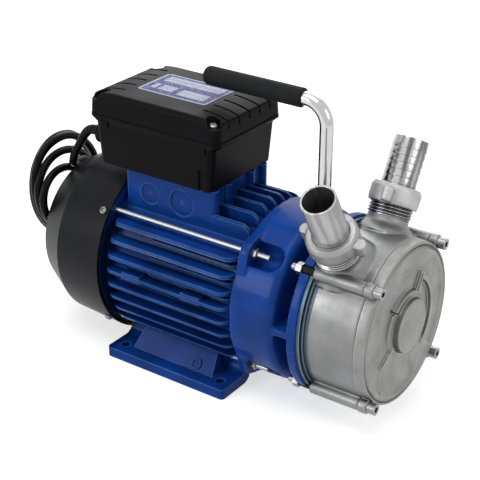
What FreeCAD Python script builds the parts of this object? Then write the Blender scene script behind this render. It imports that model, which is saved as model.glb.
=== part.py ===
import FreeCAD, Part
import math
import os

# Electric transfer pump on a foot-mounted motor, in millimetres.
# The origin is the middle of the four foot holes on the mounting plane, X runs along the shaft
# towards the pump head and Z points up.

Vector = FreeCAD.Vector
Rotation = FreeCAD.Rotation
Placement = FreeCAD.Placement

# Feet and shaft height of the motor frame
shaft_height = 71.0
foot_hole_pitch_x = 90.0
foot_hole_pitch_y = 112.0
foot_hole_diameter = 7.0
foot_length = 110.0
foot_span = 134.0
foot_strip_width = 37.0
foot_thickness = 8.0
foot_corner_radius = 3.0
foot_wall_thickness = 6.0
foot_wall_share = 0.45
foot_fillet_radius = 8.0
foot_block_length = 67.0
foot_block_height = 18.0
foot_block_setback = 11.0
foot_block_slope = 15.0
foot_block_end_draft = 4.0
foot_root_radius = 10.0

# Motor housing
housing_length = 120.0
barrel_radius = 57.0
barrel_wall = 5.0
fin_radius = 67.0
fin_thickness = 2.2
fin_end_gap = 4.0
fin_corner_radius = 8.0
side_fin_pitch = 11.5
side_fin_offset = 4.0
side_fins_above = 3
side_fins_below = 4
short_fin_radius = 61.5
short_fin_length = 78.0
short_fin_count = 3
top_fin_count = 7
fin_pad_height = 5.5
fin_pad_length = 17.0

# Seat of the terminal box on the housing
seat_rear_x = -55.4
seat_front_x = 21.4
seat_width = 69.2
seat_rise = 9.4
seat_wall = 4.0
seat_post_radius = 4.0
seat_boss_radius = 5.0
knockout_large_radius = 10.5
knockout_small_radius = 8.2
knockout_depth = 1.0
knockout_mark_radius = 1.3
knockout_small_x = -34.2
knockout_large_x = -4.7
knockout_drop = 16.0

# Tie rods, on a square round the shaft
tie_rod_radius = 2.0
tie_rod_circle = 64.2
tie_rod_front_x = 80.8
tie_rod_head_height = 3.0
tie_rod_head_radius = 3.6
nut_height = 3.6
nut_across_flats = 7.0

# Rear end shield, fan and fan cover
shield_thickness = 6.0
shield_radius = 66.0
shield_hub_length = 18.0
ear_radius = 8.0
ear_crown_angle = 6.0
ear_foot_angle = 36.0
cover_wall = 2.0
cover_front_radius = 70.4
cover_rear_radius = 68.0
cover_end_radius = 54.6
cover_front_x = -59.0
cover_shoulder_x = -101.0
cover_end_x = -125.5
cover_screw_x = -64.0
cover_screw_angle = 49.5
cover_screw_radius = 1.75
cover_screw_head_radius = 2.9
grille_slot_width = 4.0
grille_rib_width = 3.0
grille_ring_count = 4
grille_spoke_count = 8
grille_hub_radius = 13.0
fan_disc_radius = 57.0
fan_disc_thickness = 2.5
fan_hub_radius = 13.0
fan_blade_count = 9
fan_blade_thickness = 2.0
fan_blade_height = 17.0
fan_disc_x = -108.0

# Shaft, bearings and rotor
bearing_bore = 15.0
bearing_outer_diameter = 35.0
bearing_width = 11.0
bearing_ball_radius = 3.0
bearing_ball_count = 8
bearing_ring_thickness = 2.6
bearing_float = 2.0
shaft_core_radius = 10.0
shaft_fan_radius = 6.0
shaft_pump_radius = 7.0
shaft_front_x = 157.0
shaft_rear_x = -114.0
core_length = 68.0
rotor_radius = 29.6
air_gap = 0.4
end_ring_length = 6.0
end_ring_inner_radius = 21.0
winding_overhang = 15.0
winding_inner_radius = 34.0

# Pump bracket
bracket_ring_thickness = 7.0
bracket_radius = 66.0
bell_front_x = 96.0
bell_wall = 4.0
bell_draft = 0.6
bell_lip_inner_radius = 44.0
bell_corner_radius = 6.0
pocket_radius = 10.0
pocket_depth = 25.0
pocket_wall = 3.0
web_thickness = 5.0
bearing_hub_wall = 6.0
lantern_rib_thickness = 5.5
lantern_rib_depth = 24.0
flange_rear_x = 108.6
flange_front_x = 115.4
flange_radius = 66.9
flange_bore_radius = 24.0
slinger_x = 95.0
slinger_radius = 19.0
slinger_thickness = 2.5
slinger_sleeve_length = 4.0
slinger_sleeve_wall = 4.0

# Casing bolts, on a square round the shaft
bolt_circle = 64.3
bolt_radius = 2.5
bolt_rear_x = 99.9
bolt_head_radius = 4.25
bolt_head_height = 6.0
bolt_socket_radius = 2.3
bolt_nut_height = 4.7
bolt_nut_across_flats = 8.0

# Stainless pump head
plate_thickness = 2.6
plate_radius = 65.0
seal_seat_radius = 13.0
seal_seat_depth = 6.5
seal_seat_lift = 1.0
seal_head_wall = 4.0
seal_head_flange_wall = 8.0
seal_head_body_wall = 5.5
seal_head_flange_start = 2.5
seal_head_flange_end = 9.0
seal_head_end_gap = 3.0
casing_front_x = 158.5
casing_radius = 60.5
casing_wall = 5.0
casing_lip_radius = 62.8
casing_lip_length = 1.8
casing_boss_radius = 5.0
divider_thickness = 4.0
seal_tube_outer_radius = 21.5
seal_tube_inner_radius = 18.0
port_plate_rear_x = 139.0
port_plate_thickness = 3.0
port_plate_shoulder = 3.0
kidney_inner_radius = 28.0
kidney_outer_radius = 42.0
suction_kidney_angle = 80.0
delivery_kidney_angle = 45.0
wheel_radius = 50.0
wheel_running_gap = 0.4
wheel_blade_count = 24
wheel_blade_thickness = 2.4
wheel_web_thickness = 3.0
wheel_web_radius = 33.0
wheel_hub_radius = 14.0
seal_ring_section = 2.0

# Front cover
cover_ear_radius = 5.4
cover_ear_front_x = 164.8
cover_skirt_x = 166.3
cover_rim_radius = 59.2
cover_face_x = 165.4
cover_bead_inner_radius = 53.5
cover_bead_outer_radius = 57.0
hub_radius = 20.5
hub_height = 5.8
relief_height = 1.6
crescent_inner_radius = 34.0
crescent_outer_radius = 41.0
crescent_start_angle = -52.0
crescent_end_angle = 58.0
lobe_start_angle = -74.0
rib_width = 2.0
upper_rib_angle = 60.0
lower_rib_angle = 210.0
collar_radius = 26.0
collar_end_angle = 136.0
channel_inner_radius = 32.0
channel_outer_radius = 48.0
channel_depth = 3.4
channel_start_angle = -60.0
channel_end_angle = 240.0

# Ports, union nuts and hose tails
port_x = 129.0
port_tilt = 30.0
port_bore_radius = 9.5
port_neck_radius = 15.0
port_neck_reach = 69.5
port_flare_radius = 24.0
port_flare_reach = 56.0
port_thread_radius = 16.6
port_thread_reach = 84.0
union_base_reach = 78.0
union_height = 14.5
union_radius = 18.6
union_lug_width = 8.0
union_lug_height = 11.5
union_lug_reach = 25.5
suction_union_turn = 0.0
delivery_union_turn = 100.0
tail_radius = 12.5
tail_root_radius = 12.8
tail_bore_radius = 10.8
tail_reach = 127.5
tail_collar_radius = 15.9
tail_collar_height = 3.0
tail_gasket_height = 1.6
barb_count = 6
barb_pitch = 5.2
barb_height = 0.5

# Terminal box
seat_gasket_height = 1.0
seat_gasket_width = 9.0
box_base_height = 38.0
box_bottom_rear_x = -77.9
box_bottom_front_x = 24.2
box_bottom_width = 78.4
box_top_rear_x = -81.5
box_top_front_x = 27.8
box_top_width = 79.6
box_lip_end_reach = 4.0
box_lip_side_reach = 0.9
box_lip_height = 2.0
box_lip_slope_height = 3.5
box_slot_width = 4.0
box_slot_height = 16.0
box_slot_depth = 1.2
box_slot_inset = 6.0
box_hook_width = 7.0
box_hook_drop = 9.0
box_wall = 2.5
box_corner_radius = 5.0
lid_gasket_height = 1.0
lid_height = 16.8
lid_end_draft = 1.5
lid_side_draft = 0.7
lid_camber_length = 24.0
lid_camber_drop = 4.0
lid_shoulder_radius = 4.0
lid_screw_inset = 7.5
lid_screw_radius = 1.75
lid_screw_head_radius = 3.5
lid_pocket_radius = 4.6
lid_pocket_depth = 7.0
lid_screw_head_height = 2.4
lid_screw_grip = 16.0
lid_groove_count = 5
lid_groove_length = 23.0
lid_groove_pitch = 12.7
lid_groove_foot = 3.0
lid_groove_width = 1.2
lid_groove_depth = 0.7
box_screw_radius = 2.0
box_screw_head_radius = 3.8
box_screw_head_height = 2.6
box_screw_length = 15.0
capacitor_radius = 13.0
capacitor_length = 62.0
terminal_block_length = 38.0
terminal_block_width = 20.0
terminal_block_height = 13.0
terminal_count = 6

# Cable gland and cord
gland_y = -20.0
gland_rise = 14.6
gland_thread_radius = 6.5
gland_flange_radius = 9.5
gland_flange_height = 4.0
gland_nut_radius = 8.5
gland_nut_height = 9.0
cord_radius = 3.2
plug_pin_radius = 2.4
plug_pin_spacing = 19.0
plug_pin_length = 19.0
plug_top_radius = 8.0
plug_base_radius = 16.0
plug_body_length = 34.0
plug_relief_length = 18.0

# Carrying handle
handle_x = 95.5
handle_bar_radius = 5.0
handle_clearance = 16.1
handle_bend_radius = 17.0
handle_rear_x = -4.0
grip_rear_x = -5.0
grip_front_x = 77.0
grip_radius = 7.0
handle_boss_radius = 9.0
handle_boss_top_z = 138.0
handle_thread_depth = 14.0
handle_nut_height = 5.0
handle_nut_across_flats = 16.0

# Clearance of every fit, on the radius
fit_gap = 0.05

# Values that follow from the sizes above
rear_joint_x = -housing_length / 2
front_joint_x = housing_length / 2
barrel_bore = barrel_radius - barrel_wall
bracket_ring_front_x = front_joint_x + bracket_ring_thickness
shield_rear_x = rear_joint_x - shield_thickness
plate_front_x = flange_front_x + plate_thickness
casing_bore = casing_radius - casing_wall
port_plate_front_x = port_plate_rear_x + port_plate_thickness
wheel_rear_x = port_plate_front_x + wheel_running_gap
wheel_front_x = casing_front_x - wheel_running_gap
half_rod = tie_rod_circle / math.sqrt(2)
half_bolt = bolt_circle / math.sqrt(2)
seat_top_z = shaft_height + fin_radius + seat_rise
knockout_z = seat_top_z - knockout_drop
top_fin_pitch = (seat_width - fin_thickness) / (top_fin_count - 1)
box_base_bottom_z = seat_top_z + seat_gasket_height
box_seam_z = box_base_bottom_z + box_base_height
box_lip_rear_x = box_top_rear_x - box_lip_end_reach
box_lip_front_x = box_top_front_x + box_lip_end_reach
box_lip_width = box_top_width + 2 * box_lip_side_reach
lid_base_z = box_seam_z + lid_gasket_height
lid_top_z = lid_base_z + lid_height
lid_top_rear_x = box_lip_rear_x + lid_end_draft
lid_top_front_x = box_lip_front_x - lid_end_draft
lid_top_width = box_lip_width - 2 * lid_side_draft
gland_z = box_base_bottom_z + gland_rise
handle_run_z = lid_top_z + handle_clearance
corners = [(1, 1), (-1, 1), (-1, -1), (1, -1)]

# The cord's route: lead from the gland, four hanging turns, then the tail to the plug
gland_nut_x = box_top_rear_x - gland_flange_height - gland_nut_height
lead_route = [
    (gland_nut_x, gland_y, gland_z),
    (-102.0, gland_y, gland_z),
    (-110.5, -19.6, 159.7),
    (-117.0, -19.2, 153.2),
    (-121.5, -19.6, 145.3),
    (-125.5, -18.6, 137.3),
    (-129.0, -13.8, 130.8),
    (-131.5, -6.6, 127.2),
    (-133.0, 0.9, 124.5),
    (-134.2, 7.0, 119.4),
    (-134.8, 11.0, 112.5),
    (-134.8, 12.4, 104.6),
]
coil_front_x = -131.5
coil_rear_x = -146.0
coil_front_radius = 26.0
coil_rear_radius = 41.0
coil_front_centre = (-23.0, 100.0)
coil_rear_centre = (-3.5, 99.5)
tail_route = [
    (-146.0, 33.7, 116.8),
    (-146.8, 38.0, 108.4),
    (-148.0, 41.6, 99.4),
    (-149.0, 44.0, 89.8),
    (-149.0, 44.0, 80.1),
]


def block(x0, x1, y0, y1, z0, z1):
    """Box between two corners."""
    return Part.makeBox(x1 - x0, y1 - y0, z1 - z0, Vector(x0, y0, z0))


def rod_x(radius, x0, x1, y=0.0, z=shaft_height):
    """Cylinder along X."""
    return Part.makeCylinder(radius, x1 - x0, Vector(x0, y, z), Vector(1, 0, 0))


def ring_x(outer, inner, x0, x1, y=0.0, z=shaft_height):
    """Round ring along X."""
    return rod_x(outer, x0, x1, y, z).cut(rod_x(inner, x0 - 1, x1 + 1, y, z))


def rod_z(radius, z0, z1, x=0.0, y=0.0):
    """Cylinder along Z."""
    return Part.makeCylinder(radius, z1 - z0, Vector(x, y, z0), Vector(0, 0, 1))


def ring_z(outer, inner, z0, z1, x=0.0, y=0.0):
    """Round ring along Z."""
    return rod_z(outer, z0, z1, x, y).cut(rod_z(inner, z0 - 1, z1 + 1, x, y))


def outline(points, place):
    """Closed wire. A point of four numbers is an arc through the first two to the last two."""
    here = place(*points[0][-2:])
    first = here
    edges = []
    for point in points[1:]:
        there = place(*point[-2:])
        if len(point) == 4:
            edges.append(Part.Arc(here, place(*point[:2]), there).toShape())
        else:
            edges.append(Part.LineSegment(here, there).toShape())
        here = there
    if here.distanceToPoint(first) > 1e-6:
        edges.append(Part.LineSegment(here, first).toShape())
    return Part.Wire(edges)


def turned(points):
    """Solid of revolution about the shaft; points are x and radius."""
    wire = outline(points, lambda x, r: Vector(x, 0, shaft_height + r))
    return Part.Face(wire).revolve(Vector(0, 0, shaft_height), Vector(1, 0, 0), 360)


def turned_z(points):
    """Solid of revolution about the Z axis at the origin; points are radius and z."""
    wire = outline(points, lambda r, z: Vector(r, 0, z))
    return Part.Face(wire).revolve(Vector(0, 0, 0), Vector(0, 0, 1), 360)


def plate_x(points, x0, x1):
    """Plate across X; points are y and height above the shaft."""
    wire = outline(points, lambda y, z: Vector(x0, y, shaft_height + z))
    return Part.Face(wire).extrude(Vector(x1 - x0, 0, 0))


def polar(radius, degrees):
    """Point on a circle, in y and height above the shaft."""
    angle = math.radians(degrees)
    return radius * math.cos(angle), radius * math.sin(angle)


def sector_x(inner, outer, start, end, x0, x1):
    """Part of a ring between two angles, across X."""
    middle = (start + end) / 2
    points = [
        polar(inner, start),
        polar(outer, start),
        polar(outer, middle) + polar(outer, end),
        polar(inner, end),
        polar(inner, middle) + polar(inner, start),
    ]
    return plate_x(points, x0, x1)


def about_shaft(shape, degrees):
    """Copy turned about the shaft."""
    copy = shape.copy()
    copy.rotate(Vector(0, 0, shaft_height), Vector(1, 0, 0), degrees)
    return copy


def around(shape, count):
    """Evenly spaced copies about the shaft."""
    return [about_shaft(shape, 360.0 / count * i) for i in range(count)]


def rounded_rectangle(x0, x1, y0, y1, radius, z):
    """Closed wire of a rectangle with round corners."""
    r = radius
    k = r * (1 - math.sqrt(0.5))
    points = [
        (x0 + r, y0),
        (x1 - r, y0),
        (x1 - k, y0 + k, x1, y0 + r),
        (x1, y1 - r),
        (x1 - k, y1 - k, x1 - r, y1),
        (x0 + r, y1),
        (x0 + k, y1 - k, x0, y1 - r),
        (x0, y0 + r),
        (x0 + k, y0 + k, x0 + r, y0),
    ]
    return outline(points, lambda x, y: Vector(x, y, z))


def tapered(lower, upper):
    """Solid between two closed wires."""
    return Part.makeLoft([lower, upper], True, True)


def hexagon_x(across_flats, x0, x1, y=0.0, z=shaft_height):
    """Hexagonal prism along X."""
    radius = across_flats / math.sqrt(3)
    points = [Vector(x0, y + radius * math.cos(math.radians(60 * i)),
                     z + radius * math.sin(math.radians(60 * i))) for i in range(7)]
    return Part.Face(Part.makePolygon(points)).extrude(Vector(x1 - x0, 0, 0))


def joined(shapes):
    """One shape of several, with split faces merged."""
    first = shapes[0]
    return first.multiFuse(shapes[1:]).removeSplitter()


def bundle(shapes):
    """Several separate solids in one node."""
    return Part.makeCompound(shapes)


def on_corners(maker, half):
    """One copy for each corner of the square round the shaft; maker takes y and z."""
    return [maker(side * half, shaft_height + rise * half) for side, rise in corners]


def port_placed(shape, side):
    """Shape drawn about Z, set on a port's axis; side is 1 for the -Y port and -1 for the +Y one."""
    copy = shape.copy()
    copy.Placement = Placement(Vector(port_x, 0, shaft_height),
                               Rotation(Vector(1, 0, 0), port_tilt * side)).multiply(copy.Placement)
    return copy


def fin_envelope(radius, rear, front):
    """Ring that trims the fins: their outer edge lies on a circle and their ends are rounded."""
    inner = barrel_radius - barrel_wall / 2
    corner = min(fin_corner_radius, radius - inner - 1.0)
    bite = corner * (1 - math.sqrt(0.5))
    return turned([
        (rear, inner),
        (rear, radius - corner),
        (rear + bite, radius - bite, rear + corner, radius),
        (front - corner, radius),
        (front - bite, radius - bite, front, radius - corner),
        (front, inner),
    ])


def side_fins():
    """Level fins on both sides, with thinner short ones between the upper ones."""
    rear = rear_joint_x + fin_end_gap
    front = front_joint_x - fin_end_gap
    heights = [side_fin_offset + side_fin_pitch * i for i in range(-side_fins_below, side_fins_above + 1)]
    plates = []
    for height in heights:
        z = shaft_height + height
        plates.append(block(rear, front, -fin_radius, fin_radius,
                            z - fin_thickness / 2, z + fin_thickness / 2))
    full = Part.makeCompound(plates).common(fin_envelope(fin_radius, rear, front))
    slim = []
    for i in range(short_fin_count):
        z = shaft_height + heights[-1] - side_fin_pitch * (i + 0.5)
        slim.append(block(front - short_fin_length, front, -fin_radius, fin_radius,
                          z - fin_thickness / 3, z + fin_thickness / 3))
    short = Part.makeCompound(slim).common(fin_envelope(short_fin_radius, front - short_fin_length, front))
    return full.Solids + short.Solids


def fin_pads():
    """Two thick pads on the middle fin of the near side."""
    z = shaft_height + side_fin_offset
    reach = math.sqrt(fin_radius ** 2 - side_fin_offset ** 2) - 0.8
    pads = []
    for x in (-foot_hole_pitch_x / 2 + 15, foot_hole_pitch_x / 2 - 20):
        pads.append(block(x - fin_pad_length / 2, x + fin_pad_length / 2, -reach, -barrel_radius + 2,
                          z - fin_pad_height / 2, z + fin_pad_height / 2))
    return pads


def top_fins():
    """Upright fins on top of the barrel, before and behind the box seat."""
    rear = rear_joint_x + fin_end_gap
    front = front_joint_x - fin_end_gap
    plates = []
    for i in range(top_fin_count):
        y = top_fin_pitch * (i - (top_fin_count - 1) / 2)
        plates.append(block(rear, front, y - fin_thickness / 2, y + fin_thickness / 2,
                            shaft_height, shaft_height + fin_radius))
    return Part.makeCompound(plates).common(fin_envelope(fin_radius, rear, front)).Solids


def box_seat():
    """Hollow turret with corner posts that carries the terminal box."""
    half = seat_width / 2
    floor = shaft_height + barrel_bore / 2
    post = seat_post_radius
    walls = [block(seat_rear_x, seat_front_x, -half, half, floor, seat_top_z)]
    for y in (-half + post, half - post, -half / 2.4, half / 2.4):
        walls.append(rod_z(post, floor, seat_top_z, seat_front_x, y))
    cavity = block(seat_rear_x + seat_wall, seat_front_x - seat_wall,
                   -half + seat_wall, half - seat_wall, floor, seat_top_z + 1)
    cavity = cavity.cut(rod_x(barrel_radius, rear_joint_x, front_joint_x))
    turret = joined(walls).cut(cavity)
    bosses = []
    for x, y in box_screw_places():
        bosses.append(rod_z(seat_boss_radius, floor, seat_top_z, x, y))
    turret = joined([turret] + bosses)
    for x, y in box_screw_places():
        turret = turret.cut(rod_z(box_screw_radius + fit_gap, seat_top_z - 16, seat_top_z + 1, x, y))
    return turret


def knockouts():
    """Two blind round recesses in the seat's side, each with a centre mark."""
    recesses = []
    inward = Vector(0, 1, 0)
    for x, radius in ((knockout_small_x, knockout_small_radius), (knockout_large_x, knockout_large_radius)):
        start = Vector(x, -seat_width / 2 - 1, knockout_z)
        recess = Part.makeCylinder(radius, knockout_depth + 1, start, inward)
        mark_y = -seat_width / 2 + knockout_depth / 2
        mark = Part.makeCylinder(knockout_mark_radius, knockout_depth, Vector(x, mark_y, knockout_z), inward)
        recesses.append(recess.cut(mark))
    return recesses


def box_screw_places():
    """The four screws that hold the terminal box down, in x and y."""
    inset = seat_wall + seat_boss_radius * 0.6
    half = seat_width / 2 - inset
    return [(x, y) for x in (seat_rear_x + inset, seat_front_x - inset) for y in (-half, half)]


def foot_section(side):
    """Section of one foot: plate and upright web, with the curves between them."""
    outer = foot_span / 2
    inner = outer - foot_strip_width
    web = inner + foot_wall_thickness
    top = shaft_height * foot_wall_share
    r = foot_root_radius
    k = r * (1 - math.sqrt(0.5))
    c = foot_fillet_radius
    bite = c * (1 - math.sqrt(0.5))
    return outline([
        (side * outer, 0),
        (side * outer, foot_thickness),
        (side * (web + c), foot_thickness),
        (side * (web + bite), foot_thickness + bite, side * web, foot_thickness + c),
        (side * web, top),
        (side * inner, top),
        (side * inner, r),
        (side * (inner + k), k, side * (inner + r), 0),
    ], lambda y, z: Vector(-foot_length / 2, y, z))


def foot_block(side):
    """Solid block on a foot with a sloped face, and ends that lean in by their draft."""
    low_half = foot_block_length / 2 + foot_block_end_draft
    high_half = foot_block_length / 2
    inner = foot_span / 2 - foot_strip_width
    top = foot_thickness + foot_block_height
    low_y = foot_span / 2 - foot_block_setback
    section = outline([
        (side * low_y, foot_thickness),
        (side * (low_y - foot_block_slope), top),
        (side * inner, top),
        (side * inner, foot_thickness / 2),
        (side * low_y, foot_thickness / 2),
    ], lambda y, z: Vector(-low_half, y, z))
    side_view = outline([
        (-low_half, 0),
        (low_half, 0),
        (low_half, foot_thickness),
        (high_half, top),
        (-high_half, top),
        (-low_half, foot_thickness),
    ], lambda x, z: Vector(x, -foot_span / 2, z))
    ends = Part.Face(side_view).extrude(Vector(0, foot_span, 0))
    return Part.Face(section).extrude(Vector(2 * low_half, 0, 0)).common(ends)


def feet():
    """Two feet with their webs and sloped blocks, before the holes."""
    outer = foot_span / 2
    inner = outer - foot_strip_width
    half = foot_length / 2
    shapes = []
    for side in (1, -1):
        y0 = min(side * inner, side * outer)
        y1 = max(side * inner, side * outer)
        plan = rounded_rectangle(-half, half, y0, y1, foot_corner_radius, 0)
        plan = Part.Face(plan).extrude(Vector(0, 0, shaft_height))
        profile = Part.Face(foot_section(side)).extrude(Vector(foot_length, 0, 0))
        shapes.append(profile.common(plan))
        shapes.append(foot_block(side))
    return shapes


def motor_housing():
    """Finned barrel with its feet and the seat of the terminal box."""
    barrel = rod_x(barrel_radius, rear_joint_x, front_joint_x)
    solid = joined([barrel] + feet() + side_fins() + fin_pads() + top_fins() + [box_seat()])
    cavity = block(seat_rear_x + seat_wall, seat_front_x - seat_wall,
                   -seat_width / 2 + seat_wall, seat_width / 2 - seat_wall, shaft_height, seat_top_z + 1)
    cavity = cavity.cut(rod_x(barrel_radius, rear_joint_x, front_joint_x))
    for x, y in box_screw_places():
        cavity = cavity.cut(rod_z(seat_boss_radius, shaft_height, seat_top_z + 2, x, y))
    solid = solid.cut(cavity)
    solid = solid.cut(rod_x(barrel_bore, rear_joint_x - 1, front_joint_x + 1))
    lead_hole_x = (seat_rear_x + seat_front_x) / 2
    solid = solid.cut(rod_z(8.0, shaft_height, seat_top_z, lead_hole_x, 0))
    for y, z in ((s * half_rod, shaft_height + r * half_rod) for s, r in corners):
        solid = solid.cut(rod_x(tie_rod_radius + 0.3, rear_joint_x - 1, front_joint_x + 1, y, z))
    for x in (-foot_hole_pitch_x / 2, foot_hole_pitch_x / 2):
        for y in (-foot_hole_pitch_y / 2, foot_hole_pitch_y / 2):
            solid = solid.cut(rod_z(foot_hole_diameter / 2, -1, foot_thickness + 20, x, y))
    return solid.cut(Part.makeCompound(knockouts()))


def eared_ring(radius, thickness, x0):
    """Disc with four ears round the tie rods, each run out into the disc on both sides."""
    disc = rod_x(radius, x0, x0 + thickness)
    ears = on_corners(lambda y, z: rod_x(ear_radius, x0, x0 + thickness, y, z), half_rod)
    crown = tie_rod_circle + ear_radius - 0.4
    half = ear_crown_angle / 2
    foot = ear_foot_angle / 2
    webs = []
    for angle in (45, 135, 225, 315):
        points = [
            polar(radius - ear_radius, angle),
            polar(radius - 0.5, angle - foot),
            polar(crown, angle - half),
            polar(crown, angle + half),
            polar(radius - 0.5, angle + foot),
        ]
        webs.append(plate_x(points, x0, x0 + thickness))
    return joined([disc] + ears + webs)


def rod_holes(x0, x1):
    """Clearance holes for the tie rods."""
    return Part.makeCompound(on_corners(lambda y, z: rod_x(tie_rod_radius + fit_gap, x0, x1, y, z), half_rod))


def cover_screw_angles():
    """Angles of the four fan cover screws, from the Y axis."""
    lean = 90 - cover_screw_angle
    return [lean, 180 - lean, 180 + lean, 360 - lean]


def radial_rod(radius, r0, r1, x, degrees):
    """Cylinder along a radius of the shaft."""
    y0, z0 = polar(r0, degrees)
    y1, z1 = polar(1.0, degrees)
    return Part.makeCylinder(radius, r1 - r0, Vector(x, y0, shaft_height + z0), Vector(0, y1, z1))


def rear_end_shield():
    """End shield with the rear bearing seat, clamped by the tie rods."""
    inner_wall = bearing_outer_diameter / 2 + 5.0
    solid = joined([
        eared_ring(shield_radius, shield_thickness, shield_rear_x),
        rod_x(inner_wall, rear_joint_x - shield_hub_length, rear_joint_x),
        rod_x(barrel_bore - fit_gap, rear_joint_x, rear_joint_x + 3.0),
    ])
    solid = solid.cut(rod_x(barrel_bore - 4.0, rear_joint_x, rear_joint_x + 4.0))
    bore_rear = rear_joint_x - shield_hub_length + 2.0
    solid = solid.cut(rod_x(bearing_outer_diameter / 2 + fit_gap, bore_rear, rear_joint_x + 1))
    solid = solid.cut(rod_x(bearing_bore / 2 + 3.0, bore_rear - 3, bore_rear + 1))
    solid = solid.cut(rod_holes(shield_rear_x - 1, rear_joint_x + 1))
    solid = solid.common(rod_x(cover_skin_radius(shield_rear_x) - cover_wall - fit_gap,
                               rear_joint_x - shield_hub_length - 1, rear_joint_x + 5))
    for angle in cover_screw_angles():
        solid = solid.cut(radial_rod(cover_screw_radius + fit_gap, shield_radius - 9, cover_front_radius,
                                     cover_screw_x, angle))
    return solid


def rear_bearing_x():
    """Rear face of the rear bearing."""
    return rear_joint_x - shield_hub_length + 2.0 + bearing_float


def front_bearing_x():
    """Rear face of the front bearing."""
    return front_joint_x + 3.0


def bearing_outer_ring(x0):
    """Outer ring of a ball bearing with its ball groove."""
    outer = bearing_outer_diameter / 2
    middle = x0 + bearing_width / 2
    ring = ring_x(outer, outer - bearing_ring_thickness, x0, x0 + bearing_width)
    return ring.cut(ball_track(middle))


def bearing_inner_ring(x0):
    """Inner ring of a ball bearing with its ball groove."""
    bore = bearing_bore / 2
    middle = x0 + bearing_width / 2
    ring = ring_x(bore + fit_gap + bearing_ring_thickness, bore + fit_gap / 2, x0, x0 + bearing_width)
    return ring.cut(ball_track(middle))


def pitch_radius():
    """Radius of the balls' circle."""
    return (bearing_outer_diameter / 2 + bearing_bore / 2) / 2


def ball_track(middle):
    """Ring-shaped groove in which the balls run."""
    return Part.makeTorus(pitch_radius(), bearing_ball_radius + fit_gap,
                          Vector(middle, 0, shaft_height), Vector(1, 0, 0))


def bearing_balls(x0):
    """Balls of a bearing."""
    centre = Vector(x0 + bearing_width / 2, 0, shaft_height + pitch_radius())
    ball = Part.makeSphere(bearing_ball_radius, centre)
    return bundle(around(ball, bearing_ball_count))


def wave_spring():
    """Thin preload ring behind the rear bearing."""
    outer = bearing_outer_diameter / 2
    x0 = rear_joint_x - shield_hub_length + 2.0
    return ring_x(outer - 0.3, outer - 3.5, x0, x0 + bearing_float)


def motor_shaft():
    """Stepped shaft from the fan to the pump wheel."""
    bearing = bearing_bore / 2
    rear0 = rear_bearing_x()
    front1 = front_bearing_x() + bearing_width
    solid = turned([
        (shaft_rear_x, 0),
        (shaft_rear_x, shaft_fan_radius - 0.8),
        (shaft_rear_x + 0.8, shaft_fan_radius),
        (rear0, shaft_fan_radius),
        (rear0, bearing),
        (rear0 + bearing_width, bearing),
        (rear0 + bearing_width, shaft_core_radius),
        (front_bearing_x(), shaft_core_radius),
        (front_bearing_x(), bearing),
        (front1, bearing),
        (front1, shaft_pump_radius),
        (shaft_front_x - 0.8, shaft_pump_radius),
        (shaft_front_x, shaft_pump_radius - 0.8),
        (shaft_front_x, 0),
    ])
    return solid.cut(wheel_key_slot())


def wheel_key_slot():
    """Keyway of the pump wheel in the shaft."""
    return block(wheel_rear_x + 1.0, wheel_front_x - 1.0, -2.0, 2.0,
                 shaft_height + shaft_pump_radius - 2.0, shaft_height + shaft_pump_radius + 3.0)


def wheel_key():
    """Key between the shaft and the pump wheel."""
    return block(wheel_rear_x + 1.0, wheel_front_x - 1.0, -2.0 + fit_gap, 2.0 - fit_gap,
                 shaft_height + shaft_pump_radius - 2.0 + fit_gap, shaft_height + shaft_pump_radius + 1.5)


def rotor_core():
    """Rotor stack with its two short-circuit rings."""
    half = core_length / 2
    stack = ring_x(rotor_radius, shaft_core_radius + fit_gap, -half, half)
    end = ring_x(rotor_radius - 1.0, end_ring_inner_radius, half, half + end_ring_length)
    other = ring_x(rotor_radius - 1.0, end_ring_inner_radius, -half - end_ring_length, -half)
    return joined([stack, end, other])


def stator_core():
    """Stator stack pressed into the barrel."""
    half = core_length / 2
    return ring_x(barrel_bore - fit_gap, rotor_radius + air_gap, -half, half)


def stator_windings():
    """End windings before and behind the stator stack."""
    half = core_length / 2
    r0 = winding_inner_radius
    r1 = barrel_bore - 4.0
    rings = []
    for side in (1, -1):
        a = side * half
        b = side * (half + winding_overhang)
        c = side * (half + winding_overhang - 4.0)
        rings.append(turned([(a, r0), (a, r1), (c, r1), (b, r1 - 4.0), (b, r0 + 4.0), (c, r0)]))
    return bundle(rings)


def tie_rod(y, z):
    """Long rod with its head behind the end shield."""
    head_x = shield_rear_x - tie_rod_head_height
    return joined([
        rod_x(tie_rod_radius, shield_rear_x - 0.5, tie_rod_front_x, y, z),
        rod_x(tie_rod_head_radius, head_x, shield_rear_x, y, z),
    ])


def hexagon_nut(across_flats, x0, height, hole, y, z):
    """Hexagon nut with chamfered corners."""
    body = hexagon_x(across_flats, x0, x0 + height, y, z)
    corner = across_flats / math.sqrt(3)
    flat = across_flats / 2
    bevel = corner - flat
    barrel = joined([
        rod_x(corner + 0.01, x0, x0 + height - bevel, y, z),
        Part.makeCone(corner + 0.01, flat, bevel, Vector(x0 + height - bevel, y, z), Vector(1, 0, 0)),
    ])
    return body.common(barrel).cut(rod_x(hole, x0 - 1, x0 + height + 1, y, z))


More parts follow.
